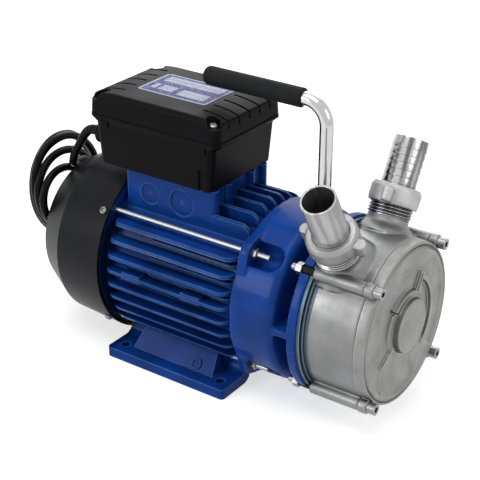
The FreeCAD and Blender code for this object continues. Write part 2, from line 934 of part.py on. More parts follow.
def cooling_fan():
    """Fan with straight blades, which cools the same in both directions of rotation."""
    blade_rear_x = fan_disc_x + fan_disc_thickness
    hub = rod_x(fan_hub_radius, fan_disc_x, blade_rear_x + fan_blade_height)
    disc = rod_x(fan_disc_radius, fan_disc_x, blade_rear_x)
    height = fan_blade_height
    wire = outline([
        (blade_rear_x, fan_hub_radius - 1.0),
        (blade_rear_x, fan_disc_radius),
        (blade_rear_x + height * 0.75, fan_disc_radius - 1.5),
        (blade_rear_x + height, fan_disc_radius - 12.0),
        (blade_rear_x + height, fan_hub_radius - 1.0),
    ], lambda x, r: Vector(x, -fan_blade_thickness / 2, shaft_height + r))
    blade = Part.Face(wire).extrude(Vector(0, fan_blade_thickness, 0))
    solid = joined([hub, disc] + around(blade, fan_blade_count))
    return solid.cut(rod_x(shaft_fan_radius + fit_gap, fan_disc_x - 1, blade_rear_x + height + 1))


def cover_profile(inset):
    """Half section of the fan cover's outer or inner skin, in x and radius."""
    end_x = cover_end_x + inset
    return [
        (cover_front_x + (1.0 if inset else 0.0), 0),
        (cover_front_x + (1.0 if inset else 0.0), cover_front_radius - inset),
        (cover_shoulder_x, cover_rear_radius - inset),
        (end_x, cover_end_radius - inset),
        (end_x, 0),
    ]


def fan_cover():
    """Cowl over the fan, with rings and spokes of a grille in its rear face."""
    cowl = turned(cover_profile(0.0)).cut(turned(cover_profile(cover_wall)))
    slots = []
    radius = grille_hub_radius
    for i in range(grille_ring_count):
        outer = min(radius + grille_slot_width, cover_end_radius - cover_wall - 1.0)
        slots.append(ring_x(outer, radius, cover_end_x - 1, cover_end_x + cover_wall + 1))
        radius = radius + grille_slot_width + grille_rib_width
    spoke = block(cover_end_x - 2, cover_end_x + cover_wall + 2, -grille_rib_width / 2, grille_rib_width / 2,
                  shaft_height, shaft_height + cover_end_radius)
    openings = Part.makeCompound(slots).cut(joined(around(spoke, grille_spoke_count)))
    cowl = cowl.cut(openings)
    for angle in cover_screw_angles():
        cowl = cowl.cut(radial_rod(cover_screw_radius + 0.2, shield_radius, cover_front_radius + 3,
                                   cover_screw_x, angle))
    return cowl


def cover_skin_radius(x):
    """Outer radius of the fan cover at a place along the shaft."""
    share = (cover_front_x - x) / (cover_front_x - cover_shoulder_x)
    return cover_front_radius + (cover_rear_radius - cover_front_radius) * share


def fan_cover_screws():
    """Four pan-head screws that hold the fan cover to the end shield."""
    seat = cover_skin_radius(cover_screw_x)
    screws = []
    for angle in cover_screw_angles():
        shank = radial_rod(cover_screw_radius, shield_radius - 8, seat + 0.5, cover_screw_x, angle)
        head = radial_rod(cover_screw_head_radius, seat + 0.3, seat + 2.4, cover_screw_x, angle)
        socket = radial_rod(cover_screw_radius, seat + 1.4, seat + 3, cover_screw_x, angle)
        screws.append(joined([shank, head]).cut(socket))
    return bundle(screws)


def bell_shell():
    """Bell of the bracket: a thin cup with a rounded front lip."""
    r = bracket_radius
    c = bell_corner_radius
    bite = c * (1 - math.sqrt(0.5))
    x0 = front_joint_x
    x1 = bell_front_x
    front_radius = r - bell_draft
    return turned([
        (x0, 0),
        (x0, r),
        (x1 - c, front_radius),
        (x1 - bite, front_radius - bite, x1, front_radius - c),
        (x1, 0),
    ])


def bell_cavity():
    """Room inside the bell, in front of the bearing web."""
    r = bracket_radius - bell_wall
    x0 = front_joint_x + web_thickness
    x1 = bell_front_x - bell_wall
    return turned([(x0, 0), (x0, r), (x1 - bell_wall, r - bell_draft), (x1, r - bell_wall), (x1, 0)])


def pocket(y, z, grow):
    """Scooped pocket round a tie rod nut, with a round end; grow gives its wall."""
    x0 = bracket_ring_front_x
    x1 = x0 + pocket_depth
    radius = pocket_radius + grow
    round_end = Part.makeSphere(radius, Vector(x1 - pocket_radius, y, z))
    return rod_x(radius, x0, x1 - pocket_radius, y, z).fuse(round_end)


def pump_bracket():
    """Casting between motor and pump: eared ring, bell with pockets, ribbed lantern and flange."""
    shell = bell_shell()
    cavity = bell_cavity()
    pocket_walls = [pocket(s * half_rod, shaft_height + r * half_rod, pocket_wall) for s, r in corners]
    for wall in pocket_walls:
        cavity = cavity.cut(wall)
    pockets = [pocket(s * half_rod, shaft_height + r * half_rod, 0.0) for s, r in corners]
    body = joined([
        shell.cut(cavity),
        eared_ring(bracket_radius, bracket_ring_thickness, front_joint_x),
    ])
    for cut in pockets:
        body = body.cut(cut)
    hub_outer = bearing_outer_diameter / 2 + bearing_hub_wall
    lip = rod_x(bell_lip_inner_radius, bell_front_x - bell_wall - 1, bell_front_x + 1)
    body = body.cut(lip)
    hub = rod_x(hub_outer, front_joint_x - 3.0, front_bearing_x() + bearing_width + 3.0)
    spigot = rod_x(barrel_bore - fit_gap, front_joint_x - 3.0, front_joint_x)
    spigot = spigot.cut(rod_x(barrel_bore - 4.0, front_joint_x - 4.0, front_joint_x))
    flange = rod_x(flange_radius, flange_rear_x, flange_front_x)
    rib_base = shaft_height + bell_lip_inner_radius - 4.0
    rib = block(bell_front_x - bell_wall, flange_rear_x + 1,
                -lantern_rib_thickness / 2, lantern_rib_thickness / 2, rib_base, rib_base + lantern_rib_depth)
    ribs = [rib_copy.common(rod_x(bracket_radius - 2.0, front_joint_x, flange_front_x))
            for rib_copy in around(rib, 4)]
    boss = rod_z(handle_boss_radius, shaft_height + bracket_radius - 13, handle_boss_top_z, handle_x, 0)
    body = joined([body, hub, spigot, flange, boss] + ribs)
    bearing_front = front_bearing_x() + bearing_width
    body = body.cut(rod_x(bearing_outer_diameter / 2 + fit_gap, front_joint_x - 5, bearing_front))
    body = body.cut(rod_x(bearing_bore / 2 + 2.0, front_joint_x, bell_front_x))
    body = body.cut(rod_x(flange_bore_radius + fit_gap, flange_rear_x - 1, flange_front_x + 1))
    body = body.cut(rod_holes(front_joint_x - 1, bracket_ring_front_x + 1))
    body = body.cut(rod_z(handle_bar_radius + fit_gap, handle_boss_top_z - handle_thread_depth,
                          handle_boss_top_z + 1, handle_x, 0))
    for side, rise in corners:
        body = body.cut(bolt_notch(side, rise, flange_rear_x - 1, flange_front_x + 1))
    return body


def bolt_notch(side, rise, x0, x1):
    """Open slot in a rim for a casing bolt."""
    hole = rod_x(bolt_radius + 0.4, x0, x1, side * half_bolt, shaft_height + rise * half_bolt)
    slot = block(x0, x1, -bolt_radius - 0.4, bolt_radius + 0.4,
                 shaft_height + bolt_circle, shaft_height + bolt_circle + 10)
    angle = math.degrees(math.atan2(rise, side)) - 90
    return hole.fuse(about_shaft(slot, angle))


def shaft_slinger():
    """Rubber disc on the shaft that throws off water before it reaches the bearing."""
    solid = turned([
        (slinger_x - slinger_sleeve_length, shaft_pump_radius),
        (slinger_x - slinger_sleeve_length, shaft_pump_radius + slinger_sleeve_wall),
        (slinger_x, shaft_pump_radius + slinger_sleeve_wall + 1.0),
        (slinger_x, slinger_radius),
        (slinger_x + slinger_thickness, slinger_radius - 1.0),
        (slinger_x + slinger_thickness, shaft_pump_radius),
    ])
    return solid.cut(rod_x(shaft_pump_radius + fit_gap, slinger_x - slinger_sleeve_length - 1,
                           slinger_x + slinger_thickness + 1))


def seal_plate():
    """Stainless ring plate that closes the casing and holds the fixed seal seat."""
    hub_x = flange_rear_x + 1.0
    solid = joined([
        rod_x(plate_radius, flange_front_x, plate_front_x),
        rod_x(flange_bore_radius, hub_x, flange_front_x),
    ])
    solid = solid.cut(rod_x(seal_seat_radius + fit_gap, plate_front_x - seal_seat_depth, plate_front_x + 1))
    solid = solid.cut(rod_x(shaft_pump_radius + 1.5, hub_x - 1, plate_front_x))
    for side, rise in corners:
        solid = solid.cut(bolt_notch(side, rise, flange_front_x - 1, plate_front_x + 1))
    return solid


def seal_seat():
    """Fixed ring of the mechanical seal."""
    return ring_x(seal_seat_radius, shaft_pump_radius + 1.0,
                  plate_front_x - seal_seat_depth, plate_front_x + seal_seat_lift)


def seal_head():
    """Rotating half of the mechanical seal, on the shaft."""
    x0 = plate_front_x + seal_seat_lift + fit_gap
    x1 = port_plate_rear_x - seal_head_end_gap
    x2 = x0 + seal_head_flange_start
    x3 = x0 + seal_head_flange_end
    inner = shaft_pump_radius
    solid = turned([
        (x0, inner),
        (x0, inner + seal_head_wall),
        (x2, inner + seal_head_wall),
        (x2, inner + seal_head_flange_wall),
        (x3, inner + seal_head_flange_wall),
        (x3, inner + seal_head_body_wall),
        (x1, inner + seal_head_body_wall),
        (x1, inner),
    ])
    return solid.cut(rod_x(shaft_pump_radius + fit_gap, x0 - 1, x1 + 1))


def port_solids(side):
    """Neck of a port with its flared root, and its thread."""
    bottom = casing_bore - 12
    flare = port_flare_radius - port_neck_radius
    bite = flare * (1 - math.sqrt(0.5))
    neck = turned_z([
        (0, bottom),
        (port_flare_radius, bottom),
        (port_flare_radius, port_flare_reach),
        (port_neck_radius + bite, port_flare_reach + bite, port_neck_radius, port_flare_reach + flare),
        (port_neck_radius, port_neck_reach),
        (0, port_neck_reach),
    ])
    thread = rod_z(port_thread_radius, port_neck_reach - 1, port_thread_reach)
    return [port_placed(neck, side), port_placed(thread, side)]


def pump_casing():
    """Stainless casing: barrel, two screwed ports, four bolt bosses and the inner dividing walls."""
    x0 = plate_front_x
    outer = turned([
        (x0, 0),
        (x0, casing_lip_radius),
        (x0 + casing_lip_length, casing_lip_radius),
        (x0 + casing_lip_length, casing_radius - 0.8),
        (x0 + casing_lip_length + 1.2, casing_radius - 0.8),
        (x0 + casing_lip_length + 1.2, casing_radius),
        (casing_front_x, casing_radius),
        (casing_front_x, 0),
    ])
    bosses = on_corners(lambda y, z: rod_x(casing_boss_radius, x0, casing_front_x, y, z), half_bolt)
    solid = joined([outer] + bosses + port_solids(1) + port_solids(-1))
    solid = solid.cut(rod_x(flange_radius + 0.6, port_x - port_flare_radius - 1, x0))
    shoulder_x = port_plate_rear_x - port_plate_shoulder
    solid = solid.cut(rod_x(casing_bore, x0 - 1, shoulder_x))
    solid = solid.cut(rod_x(casing_bore, port_plate_rear_x, casing_front_x + 1))
    solid = solid.cut(rod_x(casing_bore - 5.0, shoulder_x - 1, port_plate_rear_x + 1))
    tube = ring_x(seal_tube_outer_radius, seal_tube_inner_radius, x0, port_plate_rear_x)
    wall = block(x0, port_plate_rear_x, -divider_thickness / 2, divider_thickness / 2,
                 shaft_height + seal_tube_outer_radius - 1, shaft_height + casing_bore + 1)
    solid = joined([solid, tube, wall, about_shaft(wall, 180)])
    groove = seal_ring_section * 0.8
    solid = solid.cut(ring_x(casing_bore + 2.2, casing_bore, x0, x0 + groove))
    solid = solid.cut(ring_x(casing_bore + 2.2, casing_bore, casing_front_x - groove, casing_front_x))
    for side in (1, -1):
        solid = solid.cut(port_placed(rod_z(port_bore_radius, casing_bore - 8, port_thread_reach + 1), side))
    for y, z in ((s * half_bolt, shaft_height + r * half_bolt) for s, r in corners):
        solid = solid.cut(rod_x(bolt_radius + 0.3, x0 - 1, casing_front_x + 1, y, z))
    return solid


def seal_ring(x0):
    """Rubber ring in a corner groove of the casing."""
    depth = seal_ring_section * 0.8
    return ring_x(casing_bore + 2.2 - fit_gap, casing_bore + fit_gap, x0, x0 + depth)


def port_plate():
    """Plate with the suction and delivery kidneys, behind the pump wheel."""
    solid = ring_x(casing_bore - fit_gap, shaft_pump_radius + 1.0, port_plate_rear_x, port_plate_front_x)
    x0 = port_plate_rear_x - 1
    x1 = port_plate_front_x + 1
    inner = kidney_inner_radius
    outer = kidney_outer_radius
    half = suction_kidney_angle / 2
    solid = solid.cut(sector_x(inner, outer, 180 - half, 180 + half, x0, x1))
    half = delivery_kidney_angle / 2
    return solid.cut(sector_x(inner, outer - 5, -half, half, x0, x1))


def pump_wheel():
    """Star wheel with straight radial blades and a middle web."""
    middle = (wheel_rear_x + wheel_front_x) / 2
    hub = rod_x(wheel_hub_radius, wheel_rear_x, wheel_front_x)
    web = rod_x(wheel_web_radius, middle - wheel_web_thickness / 2, middle + wheel_web_thickness / 2)
    blade = block(wheel_rear_x, wheel_front_x, -wheel_blade_thickness / 2, wheel_blade_thickness / 2,
                  shaft_height + wheel_hub_radius - 1, shaft_height + wheel_radius)
    blade = blade.common(rod_x(wheel_radius, wheel_rear_x, wheel_front_x))
    solid = joined([hub, web] + around(blade, wheel_blade_count))
    solid = solid.cut(rod_x(shaft_pump_radius + fit_gap, wheel_rear_x - 1, wheel_front_x + 1))
    slot = block(wheel_rear_x - 1, wheel_front_x + 1, -2.0, 2.0,
                 shaft_height + shaft_pump_radius - 1.0, shaft_height + shaft_pump_radius + 1.5 + fit_gap)
    return solid.cut(slot)


def cover_relief():
    """Raised forms on the cover's face: hub, collar, ribs, crescent and lobe."""
    x0 = cover_face_x - 0.5
    x1 = cover_face_x + relief_height
    hub = turned([
        (x0, 0),
        (x0, hub_radius + 0.5),
        (cover_face_x + hub_height - 0.8, hub_radius),
        (cover_face_x + hub_height, hub_radius - 0.8),
        (cover_face_x + hub_height, 0),
    ])
    collar = sector_x(hub_radius - 1, collar_radius, upper_rib_angle + 2, collar_end_angle, x0, x1 + 0.8)
    crescent = sector_x(crescent_inner_radius, crescent_outer_radius,
                        crescent_start_angle, crescent_end_angle, x0, x1)
    lobe = sector_x(crescent_inner_radius - 6, cover_bead_inner_radius + 1, lobe_start_angle,
                    crescent_start_angle + 12, x0, x1)
    shapes = [hub, collar, crescent, lobe]
    for angle, offset in ((upper_rib_angle, 1.8), (upper_rib_angle, -1.8), (lower_rib_angle, 0.0)):
        rib = block(x0, x1, offset - rib_width / 2, offset + rib_width / 2,
                    shaft_height + hub_radius - 1, shaft_height + crescent_outer_radius - 1)
        shapes.append(about_shaft(rib, angle - 90))
    return shapes


def front_cover():
    """Stainless cover with its ears, beaded rim and cast relief, and the side channel within."""
    x0 = casing_front_x
    bead_top = cover_skirt_x + 0.3
    middle = (cover_bead_inner_radius + cover_bead_outer_radius) / 2
    body = turned([
        (x0, 0),
        (x0, casing_radius),
        (cover_skirt_x - 1.8, casing_radius - 0.4),
        (cover_skirt_x - 0.4, casing_radius - 0.7, cover_skirt_x, cover_rim_radius - 0.6),
        (cover_skirt_x - 1.0, cover_rim_radius - 1.4),
        (cover_skirt_x - 1.0, cover_bead_outer_radius),
        (bead_top, middle, cover_face_x, cover_bead_inner_radius),
        (cover_face_x, 0),
    ])
    ears = on_corners(lambda y, z: rod_x(cover_ear_radius, x0, cover_ear_front_x, y, z), half_bolt)
    spigot = ring_x(casing_bore - fit_gap, wheel_radius + 0.8, port_plate_front_x, x0 + 0.5)
    solid = joined([body, spigot] + ears + cover_relief())
    channel = sector_x(channel_inner_radius, channel_outer_radius, channel_start_angle, channel_end_angle,
                       x0 - 1, x0 + channel_depth)
    solid = solid.cut(channel)
    solid = solid.cut(rod_x(shaft_pump_radius + 2.0, x0 - 1, x0 + 2.0))
    for y, z in ((s * half_bolt, shaft_height + r * half_bolt) for s, r in corners):
        solid = solid.cut(rod_x(bolt_radius + 0.3, x0 - 1, cover_skirt_x + 1, y, z))
        solid = solid.cut(rod_x(bolt_head_radius + 0.2, cover_ear_front_x, cover_skirt_x + 2, y, z))
    return solid


def casing_bolt(y, z):
    """Long socket-head bolt through cover, casing, plate and flange."""
    head = rod_x(bolt_head_radius, cover_ear_front_x, cover_ear_front_x + bolt_head_height, y, z)
    socket = hexagon_x(bolt_socket_radius * math.sqrt(3), cover_ear_front_x + bolt_head_height / 2,
                       cover_ear_front_x + bolt_head_height + 1, y, z)
    shank = rod_x(bolt_radius, bolt_rear_x, cover_ear_front_x + 0.5, y, z)
    return joined([head, shank]).cut(socket)


def port_gasket(side):
    """Flat gasket between a port and its hose tail."""
    return port_placed(ring_z(port_thread_radius - 1.0, port_bore_radius + 1.0, port_thread_reach,
                              port_thread_reach + tail_gasket_height), side)


def hose_tail(side, barbs):
    """Hose tail with its collar; the far one has fine rings for the hose."""
    base = port_thread_reach + tail_gasket_height
    collar_top = base + tail_collar_height
    root_top = union_base_reach + union_height + 0.3
    top = tail_reach
    points = [
        (tail_bore_radius, base),
        (tail_collar_radius, base),
        (tail_collar_radius, collar_top),
        (tail_root_radius, collar_top),
        (tail_root_radius, root_top),
        (tail_radius, root_top),
    ]
    for i in range(barbs):
        z = top - 3.0 - barb_pitch * (barbs - i)
        points.append((tail_radius, z))
        points.append((tail_radius + barb_height, z))
        points.append((tail_radius, z + barb_pitch * 0.45))
    points.append((tail_radius, top - 0.6))
    points.append((tail_radius - 0.5, top))
    points.append((tail_bore_radius, top))
    return port_placed(turned_z(points), side)


def union_nut(side, turn):
    """Union nut with two lugs; turn sets where the lugs stand."""
    z0 = union_base_reach
    z1 = z0 + union_height
    body = turned_z([
        (port_thread_radius + fit_gap, z0),
        (union_radius - 0.8, z0),
        (union_radius, z0 + 0.8),
        (union_radius, z1 - 1.5),
        (union_radius - 1.5, z1),
        (tail_root_radius + 0.1, z1),
        (tail_root_radius + 0.1, port_thread_reach + tail_gasket_height + tail_collar_height + 0.05),
        (port_thread_radius + fit_gap, port_thread_reach + tail_gasket_height + tail_collar_height + 0.05),
    ])
    half = union_lug_width / 2
    tip = rod_z(half, z0 + 1, z0 + 1 + union_lug_height, union_lug_reach - half, 0)
    lug = block(union_radius - 1.5, union_lug_reach - half, -half, half, z0 + 1, z0 + 1 + union_lug_height)
    lug = lug.fuse(tip)
    other = lug.copy()
    other.rotate(Vector(0, 0, 0), Vector(0, 0, 1), 180)
    nut = joined([body, lug, other])
    nut.rotate(Vector(0, 0, 0), Vector(0, 0, 1), turn)
    return port_placed(nut, side)


def terminal_box_base():
    """Tapered open box with a sloped lip, hooks, screw columns and a boss for the cable gland."""
    z0 = box_base_bottom_z
    z1 = box_seam_z
    w = box_wall
    half0 = box_bottom_width / 2
    half1 = box_top_width / 2
    outer = tapered(
        rounded_rectangle(box_bottom_rear_x, box_bottom_front_x, -half0, half0, box_corner_radius, z0),
        rounded_rectangle(box_top_rear_x, box_top_front_x, -half1, half1, box_corner_radius, z1))
    inner = tapered(
        rounded_rectangle(box_bottom_rear_x + w, box_bottom_front_x - w, -half0 + w, half0 - w,
                          box_corner_radius - 1, z0 + w),
        rounded_rectangle(box_top_rear_x + w, box_top_front_x - w, -half1 + w, half1 - w,
                          box_corner_radius - 1, z1 + 0.01))
    lip_outline = [box_lip_rear_x, box_lip_front_x, -box_lip_width / 2, box_lip_width / 2, box_corner_radius]
    lip_z = z1 - box_lip_height
    lip = Part.Face(rounded_rectangle(*lip_outline, lip_z)).extrude(Vector(0, 0, box_lip_height))
    slope = tapered(
        rounded_rectangle(box_top_rear_x, box_top_front_x, -half1, half1, box_corner_radius,
                          lip_z - box_lip_slope_height),
        rounded_rectangle(*lip_outline, lip_z))
    hooks = []
    for x in (box_top_rear_x + 2 * box_corner_radius, box_top_front_x - 2 * box_corner_radius):
        for y0, y1 in ((half1 - w / 2, box_lip_width / 2), (-box_lip_width / 2, -half1 + w / 2)):
            hooks.append(block(x - box_hook_width / 2, x + box_hook_width / 2, y0, y1,
                               z1 - box_hook_drop, z1 - box_lip_height / 2))
    solid = joined([outer, lip, slope] + hooks).cut(inner)
    slot_x = box_bottom_front_x - box_slot_inset
    slot_top = z0 + box_slot_height
    core = half0 - box_slot_depth
    wide = max(half0, half1) + 1
    slots = block(slot_x - box_slot_width, slot_x, -wide, wide, z0 - 1, slot_top)
    solid = solid.cut(slots.cut(block(slot_x - box_slot_width, slot_x, -core, core, z0 - 1, slot_top)))
    columns = [rod_z(lid_screw_radius + 2.4, z0 + w / 2, z1, x, y).common(outer)
               for x, y in lid_screw_places()]
    solid = joined([solid] + columns)
    for x, y in lid_screw_places():
        solid = solid.cut(rod_z(lid_screw_radius + fit_gap, z1 - lid_screw_grip - 4, z1 + 1, x, y))
    for x, y in box_screw_places():
        solid = solid.cut(rod_z(box_screw_radius + 0.2, z0 - 1, z0 + w + 1, x, y))
    window = rod_z(12.0, z0 - 1, z0 + w + 1, (seat_rear_x + seat_front_x) / 2, 0)
    solid = solid.cut(window)
    gland_pad = rod_x(gland_flange_radius, box_top_rear_x, box_bottom_rear_x + w, gland_y, gland_z)
    solid = joined([solid, gland_pad])
    return solid.cut(rod_x(gland_thread_radius + fit_gap, box_top_rear_x - 2, box_bottom_rear_x + 10,
                           gland_y, gland_z))


def lid_screw_places():
    """The four lid screws, in x and y."""
    half = lid_top_width / 2 - lid_screw_inset
    return [(x, y) for x in (lid_top_rear_x + lid_screw_inset, lid_top_front_x - lid_screw_inset)
            for y in (-half, half)]


def arc_fall(length, drop):
    """Middle point of an arc that leaves the level and falls by drop over a length."""
    radius = (length ** 2 + drop ** 2) / (2 * drop)
    half = math.asin(length / radius) / 2
    return radius * math.sin(half), radius * (1 - math.cos(half))


def lid_crown():
    """Rounded form of the lid's top: it falls to the short ends and rolls over the long sides."""
    bottom = lid_base_z - 1
    end_z = lid_top_z - lid_camber_drop
    run, fall = arc_fall(lid_camber_length, lid_camber_drop)
    rear = box_lip_rear_x
    front = box_lip_front_x
    side_view = outline([
        (rear, bottom),
        (rear, end_z),
        (rear + lid_camber_length - run, lid_top_z - fall, rear + lid_camber_length, lid_top_z),
        (front - lid_camber_length, lid_top_z),
        (front - lid_camber_length + run, lid_top_z - fall, front, end_z),
        (front, bottom),
    ], lambda x, z: Vector(x, -box_lip_width, z))
    half = box_lip_width / 2
    r = lid_shoulder_radius
    k = r * (1 - math.sqrt(0.5))
    end_view = outline([
        (-half, bottom),
        (-half, lid_top_z - r),
        (-half + k, lid_top_z - k, -half + r, lid_top_z),
        (half - r, lid_top_z),
        (half - k, lid_top_z - k, half, lid_top_z - r),
        (half, bottom),
    ], lambda y, z: Vector(rear - 1, y, z))
    along_y = Part.Face(side_view).extrude(Vector(0, 2 * box_lip_width, 0))
    along_x = Part.Face(end_view).extrude(Vector(front - rear + 2, 0, 0))
    return along_y.common(along_x)


def lid_pocket(x, y):
    """Screw pocket that is open towards its corner of the lid."""
    floor_z = lid_top_z - lid_pocket_depth
    middle_x = (box_lip_rear_x + box_lip_front_x) / 2
    half = lid_pocket_radius * 0.75
    slot = block(0, 3 * lid_screw_inset, -half, half, floor_z, lid_top_z + 1)
    corner = math.atan2(y, math.copysign(abs(y), x - middle_x))
    slot.rotate(Vector(0, 0, 0), Vector(0, 0, 1), math.degrees(corner))
    slot.translate(Vector(x, y, 0))
    return rod_z(lid_pocket_radius, floor_z, lid_top_z + 1, x, y).fuse(slot)


def terminal_box_lid():
    """Cambered lid with corner screw pockets and grooves at its short ends."""
    w = box_wall
    lip_half = box_lip_width / 2
    half = lid_top_width / 2
    corner = box_corner_radius
    lower = rounded_rectangle(box_lip_rear_x, box_lip_front_x, -lip_half, lip_half, corner, lid_base_z)
    upper = rounded_rectangle(lid_top_rear_x, lid_top_front_x, -half, half, corner, lid_top_z)
    outer = tapered(lower, upper).common(lid_crown())
    roof_z = lid_top_z - lid_camber_drop - w
    inner_half = box_top_width / 2 - w
    cavity = rounded_rectangle(box_top_rear_x + w, box_top_front_x - w, -inner_half, inner_half,
                               box_corner_radius - 1, lid_base_z - 1)
    solid = outer.cut(Part.Face(cavity).extrude(Vector(0, 0, roof_z - lid_base_z + 1)))
    columns = [rod_z(lid_pocket_radius + 1.6, lid_base_z, lid_top_z, x, y).common(outer)
               for x, y in lid_screw_places()]
    solid = joined([solid] + columns)
    for x, y in lid_screw_places():
        solid = solid.cut(lid_pocket(x, y))
        solid = solid.cut(rod_z(lid_screw_radius + 0.2, lid_base_z - 1, lid_top_z, x, y))
    for end_x, way in ((box_lip_rear_x, 1), (box_lip_front_x, -1)):
        deep = outer.copy()
        deep.translate(Vector(way * lid_groove_depth, 0, -lid_groove_depth))
        x0 = min(end_x - way, end_x + way * lid_groove_length)
        x1 = max(end_x - way, end_x + way * lid_groove_length)
        cutters = []
        for i in range(lid_groove_count):
            y = lid_groove_pitch * (i - (lid_groove_count - 1) / 2)
            cutters.append(block(x0, x1, y - lid_groove_width / 2, y + lid_groove_width / 2,
                                 lid_top_z - lid_camber_drop - lid_groove_foot, lid_top_z + 1))
        solid = solid.cut(Part.makeCompound(cutters).cut(deep))
    return solid


def lid_gasket():
    """Rubber gasket between box and lid."""
    lip_half = box_lip_width / 2 - 1.0
    z0 = box_seam_z
    w = box_wall
    outer = Part.Face(rounded_rectangle(box_lip_rear_x + 1, box_lip_front_x - 1, -lip_half, lip_half,
                                        box_corner_radius, z0)).extrude(Vector(0, 0, lid_gasket_height))
    half = box_top_width / 2 - w
    inner = Part.Face(rounded_rectangle(box_top_rear_x + w, box_top_front_x - w, -half, half,
                                        box_corner_radius, z0 - 1)).extrude(Vector(0, 0, 3))
    solid = outer.cut(inner)
    for x, y in lid_screw_places():
        solid = solid.cut(rod_z(lid_screw_radius + 0.3, z0 - 1, z0 + 2, x, y))
    return solid


def seat_gasket():
    """Gasket between the housing's seat and the terminal box."""
    half = seat_width / 2
    outer = block(seat_rear_x, seat_front_x, -half, half, seat_top_z, box_base_bottom_z)
    w = seat_gasket_width
    inner = block(seat_rear_x + w, seat_front_x - w, -half + w, half - w,
                  seat_top_z - 1, box_base_bottom_z + 1)
    solid = outer.cut(inner)
    for x, y in box_screw_places():
        solid = solid.cut(rod_z(box_screw_radius + 0.3, seat_top_z - 1, box_base_bottom_z + 1, x, y))
    return solid


def pan_screw(radius, head_radius, head_height, z_seat, length, x, y):
    """Upright pan-head screw with a cross recess left as a round one."""
    shank = rod_z(radius, z_seat - length, z_seat + 0.5, x, y)
    head = rod_z(head_radius, z_seat, z_seat + head_height, x, y)
    recess = rod_z(radius * 0.8, z_seat + head_height * 0.45, z_seat + head_height + 1, x, y)
    return joined([shank, head]).cut(recess)


def lid_screws():
    """Four long screws through the lid into the box's columns."""
    z = lid_top_z - lid_pocket_depth
    length = z - (box_seam_z - lid_screw_grip)
    return bundle([pan_screw(lid_screw_radius, lid_screw_head_radius, lid_screw_head_height, z, length, x, y)
                   for x, y in lid_screw_places()])


def box_screws():
    """Four screws that hold the box to the housing's seat."""
    z = box_base_bottom_z + box_wall
    return bundle([pan_screw(box_screw_radius, box_screw_head_radius, box_screw_head_height, z,
                             box_screw_length, x, y) for x, y in box_screw_places()])


def run_capacitor():
    """Round capacitor lying in the box, on two low saddles."""
    x0 = (seat_rear_x + seat_front_x) / 2 - capacitor_length / 2
    floor = box_base_bottom_z + box_wall
    y = box_bottom_width / 2 - box_wall - capacitor_radius - 7.0
    z = floor + capacitor_radius + 3.0
    can = rod_x(capacitor_radius, x0, x0 + capacitor_length, y, z)
    saddles = [block(x0 + s, x0 + s + 4, y - 6, y + 6, floor, z - capacitor_radius * 0.7)
               for s in (8.0, capacitor_length - 12.0)]
    return joined([can] + saddles)


def terminal_block():
    """Terminal strip on the floor of the box."""
    x0 = (seat_rear_x + seat_front_x) / 2 - terminal_block_length / 2
    floor = box_base_bottom_z + box_wall
    y0 = -box_bottom_width / 2 + box_wall + 7.0
    top = floor + terminal_block_height
    solid = block(x0, x0 + terminal_block_length, y0, y0 + terminal_block_width, floor, top)
    pitch = terminal_block_length / terminal_count
    for i in range(terminal_count):
        x = x0 + pitch * (i + 0.5)
        for y in (y0 + 5, y0 + terminal_block_width - 5):
            solid = solid.cut(rod_z(pitch * 0.3, top - 5, top + 1, x, y))
    return solid


def cable_gland_body():
    """Gland body screwed through the box wall."""
    x1 = box_top_rear_x
    thread_end = x1 - gland_flange_height - 3.0
    solid = joined([
        hexagon_x(gland_flange_radius * math.sqrt(3), x1 - gland_flange_height, x1, gland_y, gland_z),
        rod_x(gland_thread_radius, x1 - 0.5, box_bottom_rear_x + box_wall + 4.0, gland_y, gland_z),
        rod_x(gland_thread_radius, thread_end, x1 - gland_flange_height + 0.5, gland_y, gland_z),
    ])
    return solid.cut(rod_x(cord_radius + 0.4, thread_end - 1, box_bottom_rear_x + 20, gland_y, gland_z))


def cable_gland_nut():
    """Domed nut that grips the cord."""
    x0 = gland_nut_x
    x1 = box_top_rear_x - gland_flange_height
    place = Vector(x0, gland_y, gland_z)
    solid = Part.makeCone(gland_nut_radius - 3.0, gland_nut_radius, 3.0, place, Vector(1, 0, 0))
    solid = solid.fuse(rod_x(gland_nut_radius, x0 + 3.0, x1, gland_y, gland_z))
    solid = solid.cut(rod_x(gland_thread_radius + fit_gap, x1 - 3.0 - fit_gap, x1 + 1, gland_y, gland_z))
    return solid.cut(rod_x(cord_radius - 0.6, x0 - 1, x1, gland_y, gland_z))


def tube_path(points):
    """Wire of straight runs joined by tangent arcs, and its radii."""
    spots = [Vector(*p) for p in points]
    edges = []
    radii = []
    start = spots[0]
    for before, corner, after in zip(spots, spots[1:], spots[2:]):
        inward = (corner - before).normalize()
        outward = (after - corner).normalize()
        turn = inward.getAngle(outward)
        run = min(before.distanceToPoint(corner), corner.distanceToPoint(after))
        setback = run * 0.45
        radius = setback / math.tan(turn / 2)
        radii.append(radius)
        first = corner - inward * setback
        last = corner + outward * setback
        bisector = (outward - inward).normalize()
        centre_distance = radius / math.cos(turn / 2)
        middle = corner + bisector * (centre_distance - radius)
        edges.append(Part.LineSegment(start, first).toShape())
        edges.append(Part.Arc(first, middle, last).toShape())
        start = last
    edges.append(Part.LineSegment(start, spots[-1]).toShape())
    return Part.Wire(edges), radii


def cord_tube(points):
    """Round tube along a route."""
    path, radii = tube_path(points)
    direction = Vector(*points[1]) - Vector(*points[0])
    circle = Part.Wire(Part.Circle(Vector(*points[0]), direction, cord_radius).toShape())
    tube = path.makePipeShell([circle], True, False)
    expected = math.pi * cord_radius ** 2 * path.Length
    print("cord tube length %.1f, volume ratio %.4f, radii %s"
          % (path.Length, tube.Volume / expected, ["%.0f" % r for r in radii]))
    return tube


